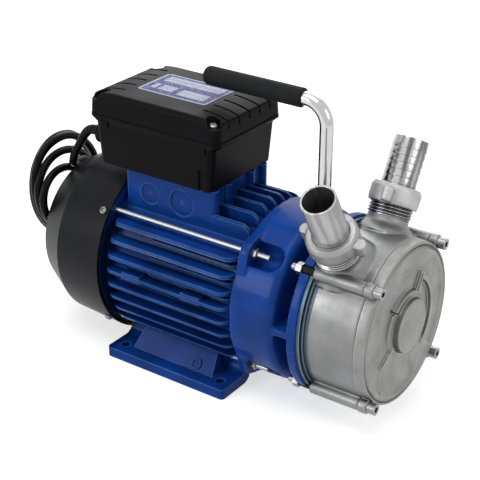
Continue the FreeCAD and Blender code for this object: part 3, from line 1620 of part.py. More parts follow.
def circle_x(radius, x, centre):
    """Circle across X about a centre in y and z."""
    return Part.Wire(Part.Circle(Vector(x, centre[0], centre[1]), Vector(1, 0, 0), radius).toShape())


def power_cord_coil():
    """Outer shape of the hanging coil: a ring that widens and shifts towards the rear."""
    x0 = coil_rear_x - cord_radius
    x1 = coil_front_x + cord_radius
    outer = tapered(circle_x(coil_rear_radius + cord_radius, x0, coil_rear_centre),
                    circle_x(coil_front_radius + cord_radius, x1, coil_front_centre))
    inner = tapered(circle_x(coil_rear_radius - cord_radius, x0, coil_rear_centre),
                    circle_x(coil_front_radius - cord_radius, x1, coil_front_centre))
    return outer.cut(inner)


def power_cord_lead():
    """Cord between the gland and the coil."""
    return cord_tube(lead_route).cut(power_cord_coil()).Solids[0]


def power_cord_tail():
    """Cord between the coil and the plug."""
    solids = cord_tube(tail_route).cut(power_cord_coil()).Solids
    return max(solids, key=lambda solid: solid.Volume)


def power_plug():
    """Two-pin plug that hangs at the end of the cord."""
    x, y, top = tail_route[-1]
    neck = top - plug_relief_length
    base = neck - plug_body_length
    solid = turned_z([
        (0, top),
        (cord_radius + 0.8, top),
        (plug_top_radius, neck),
        (plug_base_radius, neck - plug_body_length * 0.45),
        (plug_base_radius, base + 1.5),
        (plug_base_radius - 1.5, base),
        (0, base),
    ])
    for side in (-0.5, 0.5):
        pin = rod_z(plug_pin_radius, base - plug_pin_length, base + 1, 0, side * plug_pin_spacing)
        solid = solid.fuse(pin)
    solid.translate(Vector(x, y, 0))
    return solid


def handle_bar():
    """Bent bar: upright leg screwed into the bracket, bend, and level run inside the grip."""
    leg_bottom = handle_boss_top_z - handle_thread_depth
    bend_z = handle_run_z - handle_bend_radius
    bend_x = handle_x - handle_bend_radius
    leg = rod_z(handle_bar_radius, leg_bottom, bend_z, handle_x, 0)
    run = rod_x(handle_bar_radius, handle_rear_x, bend_x, 0, handle_run_z)
    section = Part.Face(circle_z(handle_bar_radius, handle_x, bend_z))
    bend = section.revolve(Vector(bend_x, 0, bend_z), Vector(0, 1, 0), -90)
    return joined([leg, bend, run])


def circle_z(radius, x, z):
    """Circle across Z in the plane y = 0."""
    return Part.Wire(Part.Circle(Vector(x, 0, z), Vector(0, 0, 1), radius).toShape())


def handle_grip():
    """Foam tube over the bar's run, closed at its free end."""
    r = grip_radius
    c = 4.0
    bite = c * (1 - math.sqrt(0.5))
    wire = outline([
        (grip_rear_x - 2, 0),
        (grip_rear_x - 2, r - c),
        (grip_rear_x - 2 + bite, r - bite, grip_rear_x - 2 + c, r),
        (grip_front_x - 1.5, r),
        (grip_front_x, r - 1.5),
        (grip_front_x, 0),
    ], lambda x, rr: Vector(x, 0, handle_run_z + rr))
    solid = Part.Face(wire).revolve(Vector(0, 0, handle_run_z), Vector(1, 0, 0), 360)
    bore = rod_x(handle_bar_radius + fit_gap, handle_rear_x - fit_gap, grip_front_x + 1, 0, handle_run_z)
    return solid.cut(bore)


def handle_lock_nut():
    """Nut that locks the handle's leg on its boss."""
    radius = handle_nut_across_flats / math.sqrt(3)
    points = []
    for i in range(7):
        angle = math.radians(60 * i)
        x = handle_x + radius * math.cos(angle)
        points.append(Vector(x, radius * math.sin(angle), handle_boss_top_z))
    nut = Part.Face(Part.makePolygon(points)).extrude(Vector(0, 0, handle_nut_height))
    return nut.cut(rod_z(handle_bar_radius + fit_gap, handle_boss_top_z - 1,
                         handle_boss_top_z + handle_nut_height + 1, handle_x, 0))


def nuts_on(half, x0, height, across_flats, hole):
    """Four hexagon nuts on the corners of a square."""
    return bundle(on_corners(lambda y, z: hexagon_nut(across_flats, x0, height, hole, y, z), half))


def nodes():
    """Every sub-part by its name."""
    nut_x = flange_rear_x - bolt_nut_height
    return {
        "motor_housing": motor_housing(),
        "stator_core": stator_core(),
        "stator_windings": stator_windings(),
        "rotor_core": rotor_core(),
        "motor_shaft": motor_shaft(),
        "front_bearing_outer_ring": bearing_outer_ring(front_bearing_x()),
        "front_bearing_inner_ring": bearing_inner_ring(front_bearing_x()),
        "front_bearing_balls": bearing_balls(front_bearing_x()),
        "rear_bearing_outer_ring": bearing_outer_ring(rear_bearing_x()),
        "rear_bearing_inner_ring": bearing_inner_ring(rear_bearing_x()),
        "rear_bearing_balls": bearing_balls(rear_bearing_x()),
        "wave_spring": wave_spring(),
        "rear_end_shield": rear_end_shield(),
        "cooling_fan": cooling_fan(),
        "fan_cover": fan_cover(),
        "fan_cover_screws": fan_cover_screws(),
        "tie_rods": bundle(on_corners(tie_rod, half_rod)),
        "tie_rod_nuts": nuts_on(half_rod, bracket_ring_front_x, nut_height, nut_across_flats,
                                tie_rod_radius + fit_gap),
        "pump_bracket": pump_bracket(),
        "shaft_slinger": shaft_slinger(),
        "seal_plate": seal_plate(),
        "seal_seat": seal_seat(),
        "seal_head": seal_head(),
        "pump_casing": pump_casing(),
        "rear_seal_ring": seal_ring(plate_front_x),
        "front_seal_ring": seal_ring(casing_front_x - seal_ring_section * 0.8),
        "port_plate": port_plate(),
        "pump_wheel": pump_wheel(),
        "wheel_key": wheel_key(),
        "front_cover": front_cover(),
        "casing_bolts": bundle(on_corners(casing_bolt, half_bolt)),
        "casing_bolt_nuts": nuts_on(half_bolt, nut_x, bolt_nut_height, bolt_nut_across_flats,
                                    bolt_radius + fit_gap),
        "suction_gasket": port_gasket(1),
        "delivery_gasket": port_gasket(-1),
        "suction_hose_tail": hose_tail(1, 0),
        "delivery_hose_tail": hose_tail(-1, barb_count),
        "suction_union_nut": union_nut(1, suction_union_turn),
        "delivery_union_nut": union_nut(-1, delivery_union_turn),
        "seat_gasket": seat_gasket(),
        "terminal_box_base": terminal_box_base(),
        "terminal_box_lid": terminal_box_lid(),
        "lid_gasket": lid_gasket(),
        "lid_screws": lid_screws(),
        "box_screws": box_screws(),
        "run_capacitor": run_capacitor(),
        "terminal_block": terminal_block(),
        "cable_gland_body": cable_gland_body(),
        "cable_gland_nut": cable_gland_nut(),
        "power_cord_lead": power_cord_lead(),
        "power_cord_coil": power_cord_coil(),
        "power_cord_tail": power_cord_tail(),
        "power_plug": power_plug(),
        "handle_bar": handle_bar(),
        "handle_grip": handle_grip(),
        "handle_lock_nut": handle_lock_nut(),
    }


def main():
    """Build every sub-part and write its STEP file."""
    os.makedirs("parts", exist_ok=True)
    for name, shape in nodes().items():
        print("%-26s solids %d valid %s" % (name, len(shape.Solids), shape.isValid()))
        shape.exportStep("parts/%s.step" % name)


main()
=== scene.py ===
"""Electric transfer pump: a foot-mounted motor with a stainless pump head, dressed over its CAD frame.

Lengths in this file are millimetres until a mesh is written, and the shaft runs along X.
"""

import enum
import logging
import math
from dataclasses import dataclass, field

import bmesh
import bpy
import numpy as np
from mathutils import Matrix, Vector

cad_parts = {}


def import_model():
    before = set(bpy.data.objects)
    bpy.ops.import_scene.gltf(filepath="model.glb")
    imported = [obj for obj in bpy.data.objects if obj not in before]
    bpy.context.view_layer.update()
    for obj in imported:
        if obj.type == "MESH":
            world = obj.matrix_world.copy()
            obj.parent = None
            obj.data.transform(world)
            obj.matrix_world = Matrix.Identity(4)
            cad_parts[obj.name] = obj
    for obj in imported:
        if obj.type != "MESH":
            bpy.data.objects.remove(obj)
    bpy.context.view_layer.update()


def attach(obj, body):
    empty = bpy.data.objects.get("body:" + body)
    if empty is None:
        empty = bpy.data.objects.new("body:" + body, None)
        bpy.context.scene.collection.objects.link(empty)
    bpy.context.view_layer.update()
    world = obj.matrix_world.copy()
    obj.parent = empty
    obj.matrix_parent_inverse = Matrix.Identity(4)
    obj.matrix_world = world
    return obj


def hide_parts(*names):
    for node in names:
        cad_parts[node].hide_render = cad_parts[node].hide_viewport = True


Material = bpy.types.Material
Pair = tuple[float, float]
Triple = tuple[float, float, float]

MM = 0.001
SHAFT_HEIGHT = 71.0
PORT_LEAN = 30.0
PORT_CENTRE = (129.0, 0.0, SHAFT_HEIGHT)
LOG = logging.getLogger("transfer_pump")


class Body(enum.Enum):
    """Moving bodies of the pump."""

    FRAME = "frame"
    SUCTION_NUT = "suction_nut"
    DELIVERY_NUT = "delivery_nut"


class Side(enum.Enum):
    """The two ports: suction leans towards -Y and delivery towards +Y."""

    SUCTION = -1
    DELIVERY = 1


# Shader language


@dataclass(frozen=True)
class Signal:
    """A value on a shader socket; arithmetic on it adds Math nodes."""

    graph: "Graph"
    socket: bpy.types.NodeSocket

    def __add__(self, other: "Signal | float") -> "Signal":
        """Sum."""
        return self.graph.math("ADD", self, other)

    def __radd__(self, other: float) -> "Signal":
        """Sum with a number in front."""
        return self.graph.math("ADD", other, self)

    def __sub__(self, other: "Signal | float") -> "Signal":
        """Difference."""
        return self.graph.math("SUBTRACT", self, other)

    def __rsub__(self, other: float) -> "Signal":
        """Difference from a number."""
        return self.graph.math("SUBTRACT", other, self)

    def __mul__(self, other: "Signal | float") -> "Signal":
        """Product."""
        return self.graph.math("MULTIPLY", self, other)

    def __rmul__(self, other: float) -> "Signal":
        """Product with a number in front."""
        return self.graph.math("MULTIPLY", other, self)

    def __truediv__(self, other: "Signal | float") -> "Signal":
        """Quotient."""
        return self.graph.math("DIVIDE", self, other)


class Graph:
    """Node tree of one material, written as expressions."""

    def __init__(self, name: str) -> None:
        """Start an empty material.

        Args:
            name: Name of the material.
        """
        self.material = bpy.data.materials.new(name)
        self.material.use_nodes = True
        self.tree = self.material.node_tree
        self.tree.nodes.clear()

    def node(self, kind: str, settings: dict | None = None, values: dict | None = None,
             output: str | int = 0) -> Signal:
        """Add a node and give one of its outputs.

        Args:
            kind: Type of the node, without the word ShaderNode.
            settings: Attributes of the node, set first.
            values: Numbers, colours or signals by the name or number of the socket.
            output: Name or number of the wanted output.

        Returns:
            The output as a signal.
        """
        made = self.tree.nodes.new("ShaderNode" + kind)
        for key, value in (settings or {}).items():
            setattr(made, key, value)
        for key, value in (values or {}).items():
            self._feed(made.inputs[key], value)
        return Signal(self, made.outputs[output])

    def _feed(self, socket: bpy.types.NodeSocket, value: object) -> None:
        """Link a signal to a socket, or set a constant on it.

        Args:
            socket: Input of a node.
            value: Signal, number, colour or vector.
        """
        if isinstance(value, Signal):
            self.tree.links.new(value.socket, socket)
        elif socket.type == "RGBA" and len(value) == 3:
            socket.default_value = (*value, 1.0)
        else:
            socket.default_value = value

    def math(self, operation: str, first: Signal | float, second: Signal | float = 0.0) -> Signal:
        """One Math node."""
        return self.node("Math", {"operation": operation}, {0: first, 1: second})

    def spread(self, value: Signal, low: float, high: float) -> Signal:
        """Stretch the range low..high of a value to 0..1, clamped."""
        return self.node("MapRange", {"clamp": True}, {"Value": value, "From Min": low, "From Max": high})

    def place(self) -> Signal:
        """Object coordinates, in metres."""
        return self.node("TexCoord", output="Object")

    def stretched(self, scale: Triple) -> Signal:
        """Object coordinates with their own scale on each axis."""
        return self.node("Mapping", None, {"Vector": self.place(), "Scale": scale})

    def noise(self, scale: float, detail: float = 3.0, rough: float = 0.5,
              where: Signal | None = None) -> Signal:
        """Fractal noise from 0 to 1, with so many spots for each metre and octaves of detail."""
        values = {"Vector": where or self.place(), "Scale": scale, "Detail": detail, "Roughness": rough}
        return self.node("TexNoise", None, values)

    def tint(self, factor: Signal | float, first: object, second: object) -> Signal:
        """Blend two colours."""
        return self.node("Mix", {"data_type": "RGBA"}, {0: factor, 6: first, 7: second}, 2)

    def part(self, vector: Signal, letter: str) -> Signal:
        """X, Y or Z of a vector."""
        return self.node("SeparateXYZ", None, {0: vector}, letter)

    def bump(self, height: Signal, depth_mm: float, strength: float = 1.0,
             normal: Signal | None = None) -> Signal:
        """Normal from a height.

        Args:
            height: Height from 0 to 1.
            depth_mm: Real depth of that range, in millimetres.
            strength: Share of the effect.
            normal: Normal under it.

        Returns:
            The normal.
        """
        values = {"Height": height, "Distance": depth_mm * MM, "Strength": strength}
        if normal is not None:
            values["Normal"] = normal
        return self.node("Bump", None, values, "Normal")

    def soft_edges(self, radius_mm: float) -> Signal:
        """Normal that looks rounded at the edges, as cast and moulded edges are."""
        return self.node("Bevel", {"samples": 6}, {"Radius": radius_mm * MM}, "Normal")

    def openness(self, reach_mm: float) -> Signal:
        """1 on open faces, falling towards 0 in corners and recesses of a given reach."""
        settings = {"samples": 4, "only_local": True}
        return self.node("AmbientOcclusion", settings, {"Distance": reach_mm * MM}, "AO")

    def edges(self, radius_mm: float) -> Signal:
        """Mask of the sharp edges.

        Args:
            radius_mm: Reach of the mask from an edge.

        Returns:
            1 along sharp edges, 0 on the faces between them.
        """
        true_normal = self.node("NewGeometry", output="Normal")
        values = {0: self.soft_edges(radius_mm), 1: true_normal}
        same = self.node("VectorMath", {"operation": "DOT_PRODUCT"}, values, "Value")
        return self.spread(1 - same, 0.01, 0.11)

    def finish(self, **sockets: object) -> Material:
        """Principled surface with these sockets.

        Args:
            **sockets: Values or signals by the name of the socket, with underscores for blanks.

        Returns:
            The material.
        """
        named = {key.replace("_", " "): value for key, value in sockets.items()}
        shader = self.node("BsdfPrincipled", None, named)
        out = self.tree.nodes.new("ShaderNodeOutputMaterial")
        self.tree.links.new(shader.socket, out.inputs["Surface"])
        return self.material


# Finishes


def shaded(colour: Triple, share: float, lift: float = 0.0) -> tuple[float, ...]:
    """Colour times a share, with one lift added to each channel."""
    return tuple(c * share + lift for c in colour)


@dataclass(frozen=True)
class PaintedCasting:
    """Gloss paint over sand-cast aluminium: a soft orange peel over a faint cast grain."""

    name: str = "blue_gloss_paint"
    colour: Triple = (0.006, 0.062, 0.355)
    roughness: float = 0.3
    grain_mm: float = 0.10
    coat: float = 0.11
    shadow_span_x: Pair = (-48.5, -54.5)
    shadow_span_z: Pair = (121.0, 104.0)

    def build(self) -> Material:
        """Make the material.

        Returns:
            The material.
        """
        g = Graph(self.name)
        along = g.part(g.place(), "X")
        height = g.part(g.place(), "Z")
        peel = g.noise(900.0, 2.0)
        sand = g.noise(330.0, 4.0, 0.6)
        cloud = g.spread(g.noise(30.0, 4.0, 0.6), 0.34, 0.66)
        base = g.tint(cloud, shaded(self.colour, 0.62), self.colour)
        handled = g.spread(g.noise(19.0, 3.0, 0.6), 0.50, 0.70)
        base = g.tint(handled * 0.45, base, (0.005, 0.034, 0.11))
        open_face = g.openness(9.0)
        # Painted shade: recesses darken by how closed in they are, for shadow and grime together
        base = g.tint((1 - open_face) * 0.9, base, (0.002, 0.016, 0.055))
        # Painted highlight, with some worn paint: open sharp edges are lightened to pale blue
        base = g.tint(g.edges(1.5) * open_face * (0.35 + 0.5 * cloud), base, (0.13, 0.30, 0.60))
        # Painted shadow: the housing darkens at the joint with the cowl, below the upper tie rods
        cowl_shadow_mask = g.spread(along, *(x * MM for x in self.shadow_span_x))
        cowl_shadow_mask = cowl_shadow_mask * g.spread(height, *(z * MM for z in self.shadow_span_z))
        base = g.tint(cowl_shadow_mask * 0.85, base, (0.001, 0.007, 0.026))
        normal = g.bump(sand * 0.7 + peel * 0.3, self.grain_mm, 0.55, g.soft_edges(0.9))
        return g.finish(Base_Color=base, Roughness=self.roughness + 0.14 * g.spread(sand, 0.35, 0.7),
                        Coat_Weight=self.coat * open_face, Coat_Roughness=0.13,
                        Specular_IOR_Level=0.05, Normal=normal)


@dataclass(frozen=True)
class MouldedPlastic:
    """Injection-moulded black plastic with a fine spark-eroded grain."""

    name: str
    colour: Triple = (0.0035, 0.0035, 0.0042)
    roughness: float = 0.34
    grain_mm: float = 0.05
    edge_mm: float = 0.8
    gloss: float = 0.05

    def build(self) -> Material:
        """Make the material.

        Returns:
            The material.
        """
        g = Graph(self.name)
        grain = g.noise(1400.0, 2.0, 0.6)
        cloud = g.noise(26.0, 3.0)
        base = g.tint(g.spread(cloud, 0.35, 0.75), self.colour, shaded(self.colour, 1.5, 0.001))
        rough = self.roughness + 0.10 * g.spread(cloud, 0.3, 0.7) + 0.05 * grain
        normal = g.bump(grain, self.grain_mm, 0.4, g.soft_edges(self.edge_mm))
        return g.finish(Base_Color=base, Roughness=rough, Specular_IOR_Level=self.gloss, Normal=normal)


@dataclass(frozen=True)
class CastStainless:
    """Investment-cast stainless steel, shot-blasted: pale grey, satin, with a fine even grain."""

    name: str = "satin_cast_stainless"
    colour: Triple = (0.255, 0.256, 0.258)
    roughness: float = 0.35
    grain_mm: float = 0.09
    wall_shade_and_skin: float = 0.0
    edge_mm: float = 0.9
    wall_shade_radius: Pair = (52.0, 48.0)

    def build(self) -> Material:
        """Make the material.

        Returns:
            The material.
        """
        g = Graph(self.name)
        blast = g.noise(1150.0, 3.0, 0.65)
        flow = g.noise(42.0, 5.0, 0.62)
        spots = g.spread(g.noise(240.0, 3.0), 0.56, 0.72)
        base = g.tint(g.spread(flow, 0.36, 0.64), shaded(self.colour, 0.80), self.colour)
        # Painted shade: recesses darken by how closed in they are, for shadow and grime together
        base = g.tint(g.spread(g.openness(5.0), 0.95, 0.35) * 0.75, base, (0.07, 0.068, 0.064))
        # Painted shade with cast skin: walls of the relief inside the bead darken where they face sideways
        if self.wall_shade_and_skin > 0.0:
            facing = g.part(g.node("NewGeometry", output="Normal"), "X")
            y = g.part(g.place(), "Y")
            z = g.part(g.place(), "Z") - SHAFT_HEIGHT * MM
            inside = g.spread(g.math("SQRT", y * y + z * z), *(r * MM for r in self.wall_shade_radius))
            base = g.tint(g.spread(facing, 0.88, 0.45) * inside * self.wall_shade_and_skin, base, (0.06, 0.06, 0.058))
        # Painted highlight: sharp edges are lightened in colour
        base = g.tint(g.edges(self.edge_mm) * 0.6, base, (0.56, 0.56, 0.56))
        stained_and_reflecting = g.tint(spots * 0.28, base, (0.21, 0.207, 0.20))
        rough = self.roughness + 0.12 * g.spread(flow, 0.66, 0.36) + 0.06 * blast
        normal = g.bump(blast * 0.75 + flow * 0.25, self.grain_mm, 0.45, g.soft_edges(0.8))
        return g.finish(Base_Color=stained_and_reflecting, Metallic=1.0, Roughness=rough, Normal=normal)


@dataclass(frozen=True)
class TurnedSteel:
    """Lathe-turned metal: fine lines round an axis through a given point.

    The distance from the axis and the place along it feed one noise, so its lines run round.
    """

    name: str
    axis_point: Triple = (0.0, 0.0, SHAFT_HEIGHT)
    tilt_degrees: float = 90.0
    colour: Triple = (0.62, 0.62, 0.62)
    roughness: float = 0.22
    line_mm: float = 0.02
    reflection_streaks: float = 0.0

    def build(self) -> Material:
        """Make the material; tilt 90 puts the axis along X, other angles tip Z about X.

        Returns:
            The material.
        """
        g = Graph(self.name)
        centre = tuple(c * MM for c in self.axis_point)
        offset = g.node("VectorMath", {"operation": "SUBTRACT"}, {0: g.place(), 1: centre})
        about, angle = ("Y_AXIS", -90.0) if self.tilt_degrees == 90.0 else ("X_AXIS", self.tilt_degrees)
        turned = g.node("VectorRotate", {"rotation_type": about},
                        {"Vector": offset, "Angle": math.radians(angle)})
        x = g.part(turned, "X")
        y = g.part(turned, "Y")
        z = g.part(turned, "Z")
        radius = g.math("SQRT", x * x + y * y)
        rings = g.node("CombineXYZ", None, {"X": radius, "Y": 0.0, "Z": z})
        lines = g.noise(3200.0, 3.0, 0.7, rings)
        smudge = g.noise(70.0, 3.0)
        base = g.tint(g.spread(lines, 0.3, 0.7), self.colour, shaded(self.colour, 1.12))
        # Painted reflection: dark stripes along the axis stand for dark surroundings mirrored in it
        if self.reflection_streaks > 0.0:
            bearing = g.node("CombineXYZ", None, {"X": x / radius, "Y": y / radius, "Z": z * 4.0})
            drawn = g.spread(g.noise(2.6, 5.0, 0.62, bearing), 0.43, 0.57)
            base = g.tint((1 - drawn) * self.reflection_streaks, base, shaded(self.colour, 0.10))
        rough = self.roughness + 0.12 * g.spread(smudge, 0.35, 0.7)
        normal = g.bump(lines, self.line_mm, 0.5, g.soft_edges(0.35))
        return g.finish(Base_Color=base, Metallic=1.0, Roughness=rough, Normal=normal)


@dataclass(frozen=True)
class PlatedSteel:
    """Bright zinc or chrome plate with faint handling marks."""

    name: str
    colour: Triple = (0.27, 0.272, 0.282)
    roughness: float = 0.30
    wear: float = 0.3
    edge_mm: float = 0.3
    shade_and_grime: float = 0.85

    def build(self) -> Material:
        """Make the material.

        Returns:
            The material.
        """
        g = Graph(self.name)
        smudge = g.spread(g.noise(95.0, 4.0, 0.6), 0.35, 0.72)
        fleck = g.spread(g.noise(700.0, 2.0), 0.6, 0.75)
        base = g.tint(smudge, self.colour, shaded(self.colour, 1.0 - 0.35 * self.wear))
        # Painted shade: recesses such as hex sockets darken, for shadow and grime together
        if self.shade_and_grime > 0.0:
            base = g.tint(g.spread(g.openness(2.5), 0.9, 0.4) * self.shade_and_grime, base, (0.03, 0.03, 0.032))
        rough = self.roughness + 0.3 * self.wear * smudge + 0.1 * self.wear * fleck
        normal = g.bump(g.noise(240.0, 3.0), 0.03, 0.25, g.soft_edges(self.edge_mm))
        return g.finish(Base_Color=base, Metallic=1.0, Roughness=rough, Normal=normal)


@dataclass(frozen=True)
class FoamRubber:
    """Closed-cell foam sleeve: matt, with fine open pores."""

    name: str = "black_foam"
    colour: Triple = (0.010, 0.0104, 0.012)

    def build(self) -> Material:
        """Make the material.

        Returns:
            The material.
        """
        g = Graph(self.name)
        cells = g.node("TexVoronoi", {"feature": "F1"}, {"Vector": g.place(), "Scale": 1500.0})
        pores = g.spread(cells, 0.1, 0.5)
        broad = g.noise(120.0, 3.0)
        base = g.tint(pores, shaded(self.colour, 0.6), self.colour)
        normal = g.bump(pores * 0.6 + broad * 0.4, 0.22, 0.5)
        return g.finish(Base_Color=base, Roughness=0.72 + 0.14 * broad, Specular_IOR_Level=0.2, Normal=normal)


@dataclass(frozen=True)
class SoftRubber:
    """Black rubber or flexible PVC with a slight bloom."""

    name: str
    colour: Triple = (0.010, 0.010, 0.011)
    roughness: float = 0.42
    gloss: float = 0.12

    def build(self) -> Material:
        """Make the material.

        Returns:
            The material.
        """
        g = Graph(self.name)
        bloom = g.spread(g.noise(140.0, 4.0, 0.6), 0.4, 0.75)
        fine = g.noise(1800.0, 2.0)
        base = g.tint(bloom * 0.5, self.colour, shaded(self.colour, 1.8, 0.002))
        normal = g.bump(fine, 0.03, 0.3)
        rough = self.roughness + 0.14 * bloom
        return g.finish(Base_Color=base, Roughness=rough, Specular_IOR_Level=self.gloss, Normal=normal)


@dataclass(frozen=True)
class PlainMetal:
    """Metal of a hidden inner piece, with a fine grain."""

    name: str
    colour: Triple
    roughness: float = 0.35
    stripes_per_mm: float = 0.0

    def build(self) -> Material:
        """Make the material; stripes run across X, as sheets of a stack or turns of wire do.

        Returns:
            The material.
        """
        g = Graph(self.name)
        grain = g.noise(800.0, 3.0)
        height = grain
        if self.stripes_per_mm > 0.0:
            across = g.stretched((self.stripes_per_mm * 1000.0, 60.0, 60.0))
            height = g.noise(1.0, 1.0, 0.3, across)
        base = g.tint(g.spread(height, 0.35, 0.65), shaded(self.colour, 0.7), self.colour)
        normal = g.bump(height, 0.08, 0.5, g.soft_edges(0.3))
        return g.finish(Base_Color=base, Metallic=1.0, Roughness=self.roughness + 0.15 * grain, Normal=normal)


@dataclass(frozen=True)
class FloorPaper:
    """Pale studio floor that the camera and reflections see as near white, with the shadow kept."""

    name: str = "pale_floor"
    glow: float = 0.62

    def build(self) -> Material:
        """Make the material.

        Returns:
            The material.
        """
        g = Graph(self.name)
        ray = "LightPath"
        seen = g.math("MAXIMUM", g.node(ray, output="Is Camera Ray"), g.node(ray, output="Is Glossy Ray"))
        seen = g.math("MAXIMUM", seen, g.node(ray, output="Is Transmission Ray"))
        fine = g.noise(900.0, 2.0)
        shade = g.tint(g.spread(fine, 0.2, 0.8), (0.80, 0.80, 0.80), (0.82, 0.82, 0.82))
        paper = g.node("BsdfDiffuse", None, {"Color": shade})
        glow = g.node("Emission", None, {"Color": (1.0, 1.0, 1.0), "Strength": self.glow})
        lit = g.node("AddShader", None, {0: paper, 1: glow})
        mixed = g.node("MixShader", None, {0: seen, 1: paper, 2: lit})
        out = g.tree.nodes.new("ShaderNodeOutputMaterial")
        g.tree.links.new(mixed.socket, out.inputs["Surface"])
        return g.material


# Surfaces worked out with numpy


def filleted(corners: list[Triple], steps: int = 4, closed: bool = True) -> np.ndarray:
    """Round the corners of a line: each arc is a spherical blend of the two tangent points.

    Args:
        corners: First and second coordinate of each corner, and its radius.
        steps: Parts of each arc.
        closed: Whether the line is a closed one; the ends of an open one stay sharp.

    Returns:
        Points of the rounded line, two columns.
    """
    data = np.asarray(corners, float)
    here = data[:, :2]
    radius = data[:, 2].copy()
    if not closed:
        radius[0] = 0.0
        radius[-1] = 0.0
    inward = here - np.roll(here, 1, axis=0)
    outward = np.roll(here, -1, axis=0) - here
    long_in = np.linalg.norm(inward, axis=1)
    long_out = np.linalg.norm(outward, axis=1)
    inward = inward / np.maximum(long_in, 1e-9)[:, None]
    outward = outward / np.maximum(long_out, 1e-9)[:, None]
    turn = np.arccos(np.clip((inward * outward).sum(1), -1.0, 1.0))
    turn = np.clip(turn, 1e-4, math.pi - 1e-3)
    setback = np.minimum(radius * np.tan(turn / 2), 0.49 * np.minimum(long_in, long_out))
    radius = setback / np.tan(turn / 2)
    bisector = outward - inward
    bisector = bisector / np.maximum(np.linalg.norm(bisector, axis=1), 1e-9)[:, None]
    centre = here + bisector * (radius / np.cos(turn / 2))[:, None]
    first = here - inward * setback[:, None] - centre
    last = here + outward * setback[:, None] - centre
    part = np.linspace(0.0, 1.0, steps + 1)[None, :, None]
    angle = turn[:, None, None]
    swept = np.sin((1 - part) * angle) * first[:, None] + np.sin(part * angle) * last[:, None]
    swept = swept / np.sin(angle)
    points = (centre[:, None] + swept).reshape(-1, 2)
    if not closed:
        points = points[steps:-steps]
    return points


def quads(rows: int, columns: int, wrap_rows: bool, wrap_columns: bool) -> np.ndarray:
    """Corner numbers of the faces of a grid.

    Args:
        rows: Points in the first direction.
        columns: Points in the second direction.
        wrap_rows: Whether the last row joins the first.
        wrap_columns: Whether the last column joins the first.

    Returns:
        Four corners of each face.
    """
    i = np.arange(rows if wrap_rows else rows - 1)
    j = np.arange(columns if wrap_columns else columns - 1)
    a, b = np.meshgrid(i, j, indexing="ij")
    a2 = (a + 1) % rows
    b2 = (b + 1) % columns
    around = [a * columns + b, a * columns + b2, a2 * columns + b2, a2 * columns + b]
    return np.stack(around, -1).reshape(-1, 4)


def circled(radius: np.ndarray | float, turn: np.ndarray, level: np.ndarray | float) -> np.ndarray:
    """Points round Z: radius times cosine and sine of the turn, and the level."""
    return np.stack(np.broadcast_arrays(radius * np.cos(turn), radius * np.sin(turn), level), -1)


@dataclass
class Shell:
    """Surface put together from grids; it becomes one mesh with its seams merged."""

    name: str
    points: list[np.ndarray] = field(default_factory=list)
    faces: list[np.ndarray] = field(default_factory=list)
    count: int = 0

    def grid(self, points: np.ndarray, wrap_rows: bool = False, wrap_columns: bool = False) -> "Shell":
        """Add a grid of points.

        Args:
            points: Points, rows by columns by three.
            wrap_rows: Whether the last row joins the first.
            wrap_columns: Whether the last column joins the first.

        Returns:
            The shell itself.
        """
        rows, columns = points.shape[:2]
        self.faces.append(quads(rows, columns, wrap_rows, wrap_columns) + self.count)
        self.points.append(points.reshape(-1, 3))
        self.count += rows * columns
        return self

    def mesh(self) -> bpy.types.Mesh:
        """Make the mesh, with its seams and poles closed and its faces outwards.

        Returns:
            The mesh.
        """
        places = np.concatenate(self.points) * MM
        corners = np.concatenate(self.faces)
        mesh = bpy.data.meshes.new(self.name)
        mesh.vertices.add(len(places))
        mesh.vertices.foreach_set("co", places.astype(np.float32).ravel())
        mesh.loops.add(corners.size)
        mesh.loops.foreach_set("vertex_index", corners.astype(np.int32).ravel())
        mesh.polygons.add(len(corners))
        mesh.polygons.foreach_set("loop_start", np.arange(0, corners.size, 4, dtype=np.int32))
        mesh.update(calc_edges=True)
        closed = bmesh.new()
        closed.from_mesh(mesh)
        bmesh.ops.remove_doubles(closed, verts=closed.verts, dist=2e-6)
        bmesh.ops.recalc_face_normals(closed, faces=closed.faces)
        closed.to_mesh(mesh)
        closed.free()
        return mesh

    def piece(self, slot: str, material: Material, smooth_degrees: float = 40.0,
              stands_for: tuple[str, ...] = ()) -> bpy.types.Object:
        """Make it a piece of the frame body, as dressed does."""
        return dressed(self.mesh(), self.name, material, smooth_degrees, stands_for)


def linked(name: str, data: bpy.types.ID) -> bpy.types.Object:
    """Object of some data, put into the scene.

    Args:
        name: Name of the object.
        data: Mesh, curve, camera or lamp.

    Returns:
        The object, at the origin.
    """
    made = bpy.data.objects.new(name, data)
    bpy.context.scene.collection.objects.link(made)
    return made


def dressed(mesh: bpy.types.Mesh, name: str, material: Material,
            smooth_degrees: float, stands_for: tuple[str, ...], body: Body = Body.FRAME) -> bpy.types.Object:
    """Make a mesh a piece of the pump: smooth it, give it its finish and let it ride.

    Args:
        mesh: Mesh, with its place in it.
        name: Name of the piece.
        material: Its material.
        smooth_degrees: Edges sharper than this stay sharp.
        stands_for: CAD nodes that it replaces.
        body: Body that it rides on.

    Returns:
        The object, at the origin.
    """
    mesh.shade_smooth()
    mesh.set_sharp_from_angle(angle=math.radians(smooth_degrees))
    mesh.materials.clear()
    mesh.materials.append(material)
    made = linked(name, mesh)
    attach(made, body.value)
    if stands_for:
        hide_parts(*stands_for)
    LOG.info("%s: %d faces", name, len(mesh.polygons))
    return made


